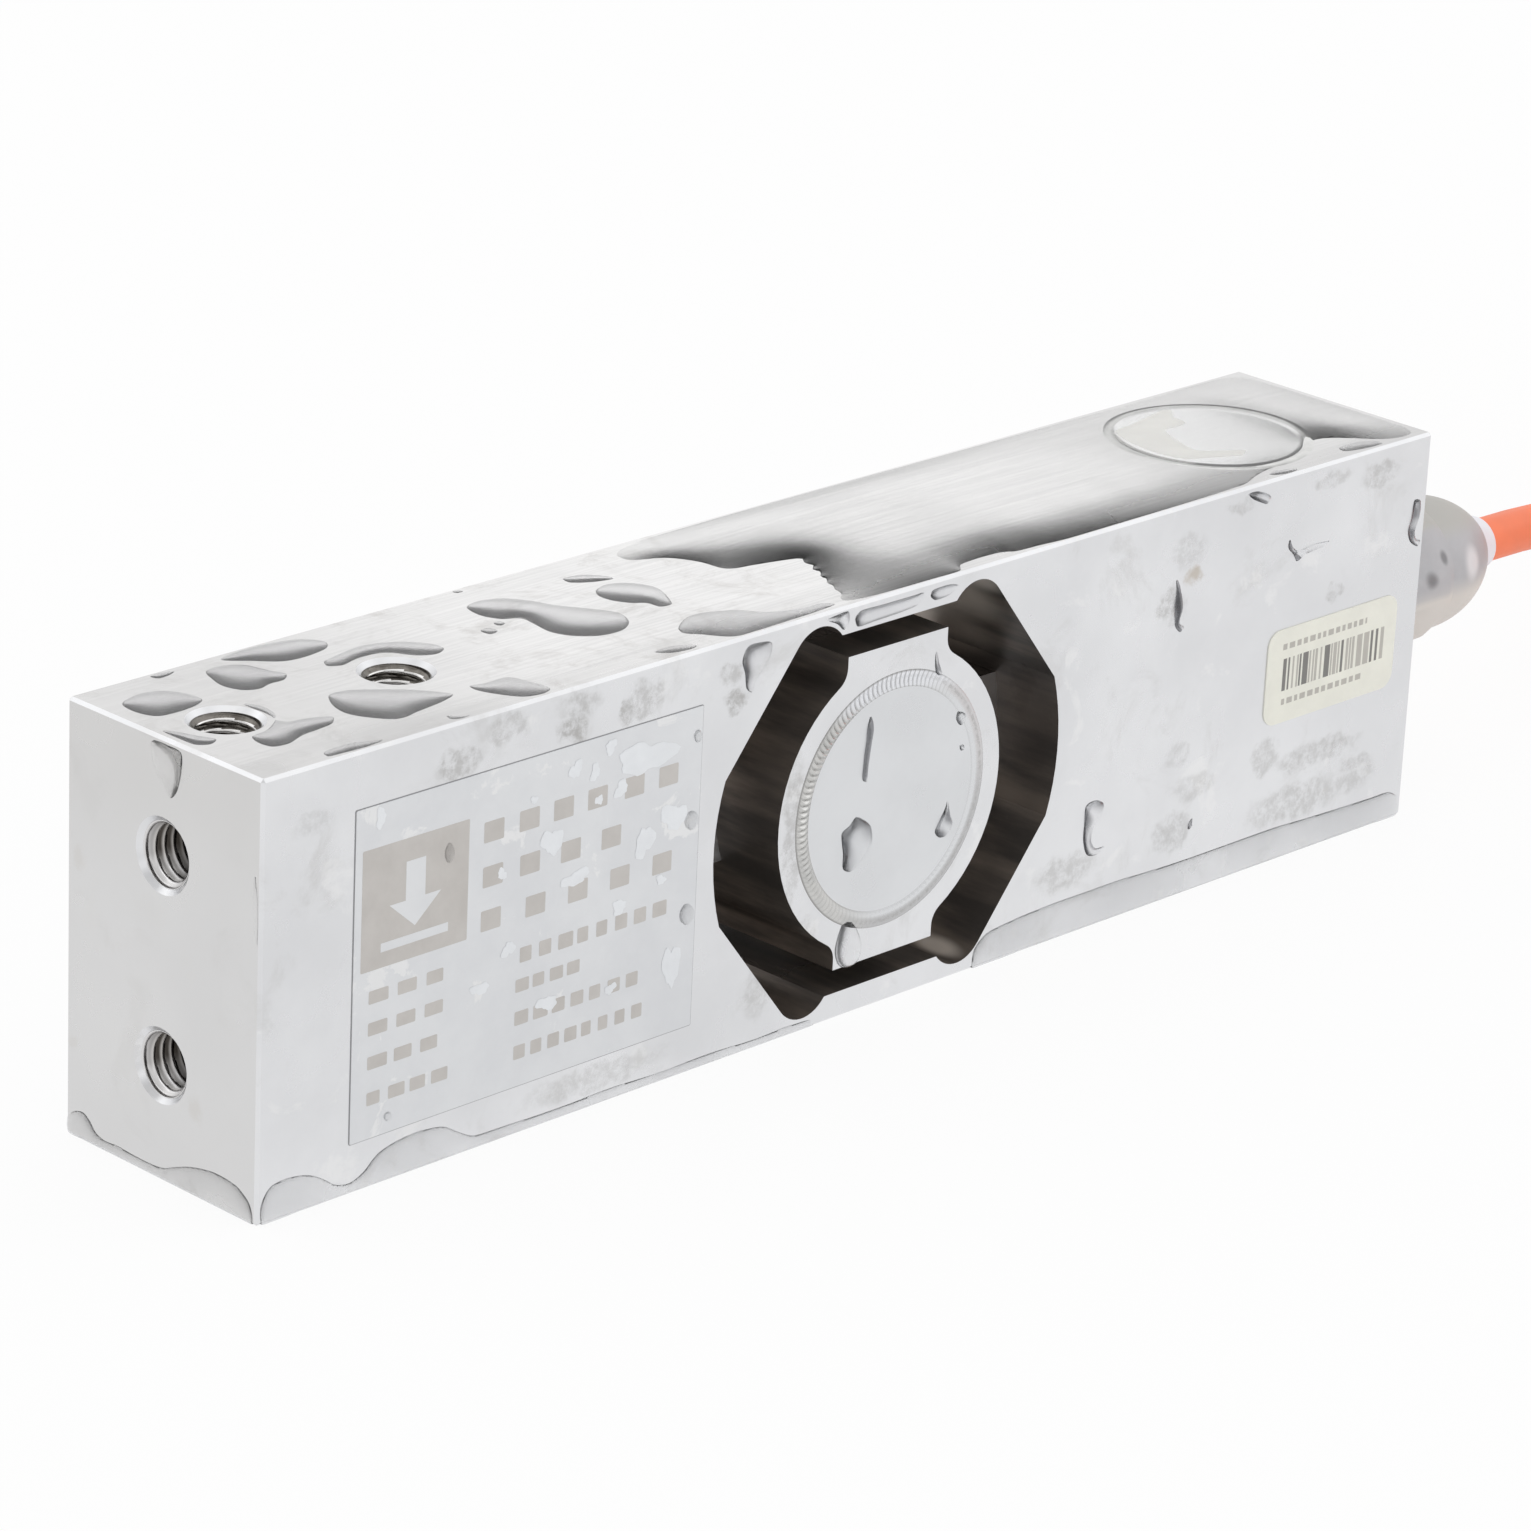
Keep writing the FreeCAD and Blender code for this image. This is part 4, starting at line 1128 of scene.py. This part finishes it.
# outline alone, in tenths of a millimetre
CREAM_PATCH = (
    499, 66, 524, 70, 557, 77, 590, 83, 594, 78, 579, 61, 574, 42, 558, 39, 541, 39, 523, 5, 516, -22, 555, -52,
    543, -59, 508, -44, 488, -35, 480, -5, 484, 35,
)
FRONT_DROPS = [
    (0.4, -194, 390, -178, 391, -163, 387, -165, 373, -175, 361, -183, 352, -184, 344, -193, 350, -196, 366, -200,
     378),
    (0.3, -32, 289, -27, 278, -29, 261, -32, 235, -32, 224, -38, 227, -38, 245, -36, 265, -35, 279),
    (0.55, -45, 194, -24, 180, -21, 164, -32, 149, -49, 141, -58, 146, -59, 161, -62, 183, -52, 187),
    (0.45, 76, 188, 82, 165, 86, 155, 79, 145, 69, 145, 62, 152, 68, 163, 74, 173),
    (0.2, 50, 335, 55, 320, 60, 306, 53, 306, 49, 322),
    (0.2, 84, 266, 94, 264, 97, 254, 89, 250, 82, 258),
    (0.12, 89, 231, 95, 230, 96, 225, 91, 225),
    (0.3, -53, 392, -20, 392, 18, 392, 31, 392, 24, 382, 1, 379, -31, 378, -56, 378, -59, 387),
    (0.25, 40, 391, 64, 392, 76, 389, 65, 382, 44, 381, 38, 386),
    (0.2, -106, 394, -87, 395, -67, 395, -66, 385, -72, 378, -82, 386, -96, 391),
    (0.45, 377, 334, 385, 320, 389, 301, 387, 284, 395, 277, 390, 273, 382, 280, 380, 297, 380, 315),
    (0.45, 542, 335, 548, 325, 556, 319, 582, 321, 611, 318, 591, 315, 560, 312, 556, 307, 550, 316, 541, 325),
    (0.35, 730, 335, 740, 332, 739, 315, 734, 301, 739, 292, 745, 290, 742, 284, 728, 292, 724, 303, 728, 317),
    (0.35, 474, 393, 489, 393, 510, 383, 505, 377, 493, 381, 481, 387),
    (0.5, 271, 127, 285, 129, 297, 122, 294, 112, 284, 103, 282, 89, 288, 80, 305, 79, 291, 72, 277, 75, 270, 91,
     270, 109),
    (0.2, 432, 77, 424, 74, 422, 65, 428, 66, 428, 73),
]
LABEL_DROPS = [
    (0.26, -256, 254, -247, 248, -245, 239, -254, 232, -264, 239, -265, 249),
    (0.26, -258, 167, -248, 160, -246, 148, -255, 142, -266, 151, -266, 161),
    (0.26, -252, 329, -246, 323, -246, 315, -253, 314, -258, 322),
    (0.26, -543, 297, -536, 289, -536, 278, -543, 274, -549, 282, -548, 292),
    (0.26, -606, 66, -600, 62, -601, 56, -609, 57, -611, 63),
]
HANGING_DROP = (
    0.5, -44, 96, -37, 86, -28, 66, -29, 52, -42, 46, -56, 51, -63, 66, -59, 84, -52, 96,
)
FRONT_RIMS = [
    (0.55, -745, 2, -745, 20, -736, 33, -715, 36, -690, 31, -674, 22, -662, 14, -646, 11, -632, 16, -615, 29, -590,
     35, -566, 36, -539, 32, -522, 22, -506, 14, -460, 12, -400, 11, -340, 12, -280, 10, -220, 11, -160, 9, -120,
     10, -90, 8, -86, 2, -140, 1, -220, 1, -300, 1, -380, 1, -460, 1, -540, 1, -620, 1, -700, 1),
    (0.5, 123, 2, 126, 20, 140, 31, 180, 36, 232, 38, 280, 38, 327, 38, 375, 36, 423, 35, 480, 35, 555, 35, 600,
     33, 658, 31, 700, 30, 730, 29, 743, 20, 744, 2, 700, 1, 620, 1, 540, 1, 460, 1, 380, 1, 300, 1, 200, 1),
]
END_DROPS = [
    (0.8, -15, 393, 5, 395, 23, 393, 23, 376, 17, 356, 10, 349, 1, 356, -9, 367, -16, 380),
    (0.25, 117, 318, 120, 297, 121.5, 279, 121, 248, 118, 258, 116, 283, 114, 302),
]
END_RIMS = [
    (0.5, -122, 2, -122, 16, -114, 24, -101, 27, -92, 22, -84, 14, -74, 11, -55, 12, -36, 11, -10, 11, 6, 13, 18,
     18, 36, 25, 71, 32, 102, 29, 117, 19, 121, 8, 121, 2, 90, 1, 50, 1, 0, 1, -50, 1, -100, 1),
]
# reach, step, sag, sink, floor, thin
TOP_POOL = (1, 0.25, 0, 0.012)
FILM_POOL = (2.4, 0.45, 0.3, 0.03, None, FILM_DEPTHS)
FACE_POOL = (1.6, 0.22, 0.4, 0.02)
LABEL_POOL = (0.4, 0.16, 0.3, 0.02)
HANGING_POOL = (0.6, 0.2, 0.5, 0.02)
RIM_POOL = (0.5, 0.2, 0.3, 0.012, 0.03)


def residue():
    """Cream patch dried on the top cover."""
    ring = smooth_ring(corners(CREAM_PATCH), 0.5)
    shape = Shape()
    shape.loft([[on_top(x, y, lift) for x, y in ring] for lift in (0.03, -0.02)])
    piece("top_cover_residue", shape, RESIDUE, smooth=False)


pools("water_top_drops", WATER, (TOP_DROPS, on_top, 0.36, TOP_POOL))
pools("water_top_film", THIN_WATER, ([FILM], on_top, 1, FILM_POOL))
residue()
pools("water_front_drops", DRIP, (FRONT_DROPS, on_front, 1.1, FACE_POOL))
pools(
    "water_clear_drops",
    THIN_WATER,
    (LABEL_DROPS, on_front, 1, LABEL_POOL),
    ([HANGING_DROP], on_front, 1, HANGING_POOL),
)
pools("water_end_drops", THIN_WATER, (END_DROPS, on_end, 1, FACE_POOL))
pools("water_base_rim", THIN_WATER, (FRONT_RIMS, on_front, 0.22, RIM_POOL), (END_RIMS, on_end, 0.22, RIM_POOL))


# ---- looks of the carried-over nodes

def dress(look, *names):
    for name in names:
        mesh = nodes[name].data
        mesh.materials.clear()
        mesh.materials.append(look)


dress(STEEL, "measuring_body")
dress(PLATED, "gland_body")
dress(RUBBER, "gland_oring", "gland_seal")
dress(JACKET, "cable_inlet")
dress(GAUGE, "front_gauge_left", "front_gauge_right", "rear_gauge_left", "rear_gauge_right")
dress(BOARD, "front_terminal_strip", "rear_terminal_strip", "compensation_board")
dress(CHIP, "zero_resistor", "span_resistor", "zero_temperature_resistor", "span_temperature_resistor")
dress(WIRE, "front_gauge_leads", "rear_gauge_leads")
for k, core in enumerate(CORES.values()):
    dress(core, "inner_core_%d" % (k + 1))


# ---- floor and light

FLOOR_HALF = 3.0
# height from floor to ceiling as a share, brightness
STUDIO_TONES = [
    (0, 0.4), (0.57, 0.42), (0.64, 0.56), (0.71, 0.56), (0.79, 0.34), (0.88, 0.3), (0.94, 0.62), (1, 0.62),
]


def floor():
    """Pale floor: it glows for camera, mirror and see-through rays, and is matte for the rest."""
    made = bpy.data.materials.new("floor_paper")
    tree = Tree(made)
    tree.nodes.clear()
    path = tree.node("LightPath").outputs
    rays = [Value(tree, path["Is %s Ray" % kind]) for kind in ("Camera", "Glossy", "Transmission")]
    matte = tree.value("BsdfDiffuse", {"Color": (0.86, 0.86, 0.86)})
    glow = tree.value("Emission", {"Color": (1, 1, 1), "Strength": 1})
    share = rays[0].most(rays[1]).most(rays[2]) * 0.92
    tree.node("OutputMaterial", {"Surface": tree.value("MixShader", {0: share, 1: matte, 2: glow})})
    mesh = bpy.data.meshes.new("floor")
    outline = box(-FLOOR_HALF, FLOOR_HALF, -FLOOR_HALF, FLOOR_HALF)
    mesh.from_pydata([(x, y, 0) for x, y in outline], [], [(0, 1, 2, 3)])
    mesh.materials.append(made)
    plane = add_object("floor", mesh)


def softbox(name, aim, distance, size, power):
    lamp = bpy.data.lights.new(name, "AREA")
    lamp.shape = "SQUARE"
    lamp.size = size
    lamp.energy = power
    made = add_object(name, lamp)
    direction = Vector(aim).normalized()
    made.location = direction * distance + Vector((0, 0, MM * MIDDLE))
    made.rotation_euler = direction.to_track_quat("Z", "Y").to_euler()


def surroundings():
    """Pale studio: bright walls, a dim belt above them and a lit ceiling."""
    world = bpy.data.worlds.new("studio")
    scene.world = world
    tree = Tree(world)
    tree.nodes.clear()
    way = tree.value("TexCoord", output="Generated")
    rise = tree.value("MapRange", {"Value": tree.split(way)[2], "From Min": -1, "From Max": 1})
    tones = tree.node("ValToRGB", {"Fac": rise})
    elements = tones.color_ramp.elements
    while len(elements) < len(STUDIO_TONES):
        elements.new(0.5)
    for element, (at, tone) in zip(elements, STUDIO_TONES):
        element.position = at
        element.color = (tone, tone, tone, 1)
    glow = tree.value("Background", {"Color": Value(tree, tones.outputs[0]), "Strength": 2})
    tree.node("OutputWorld", {"Surface": glow})


floor()
surroundings()
softbox("softbox_right", (0.67, -0.36, 0.65), 0.9, 0.6, 0.62)
softbox("softbox_left", (-0.36, 0.65, 0.67), 0.9, 0.45, 0.4)
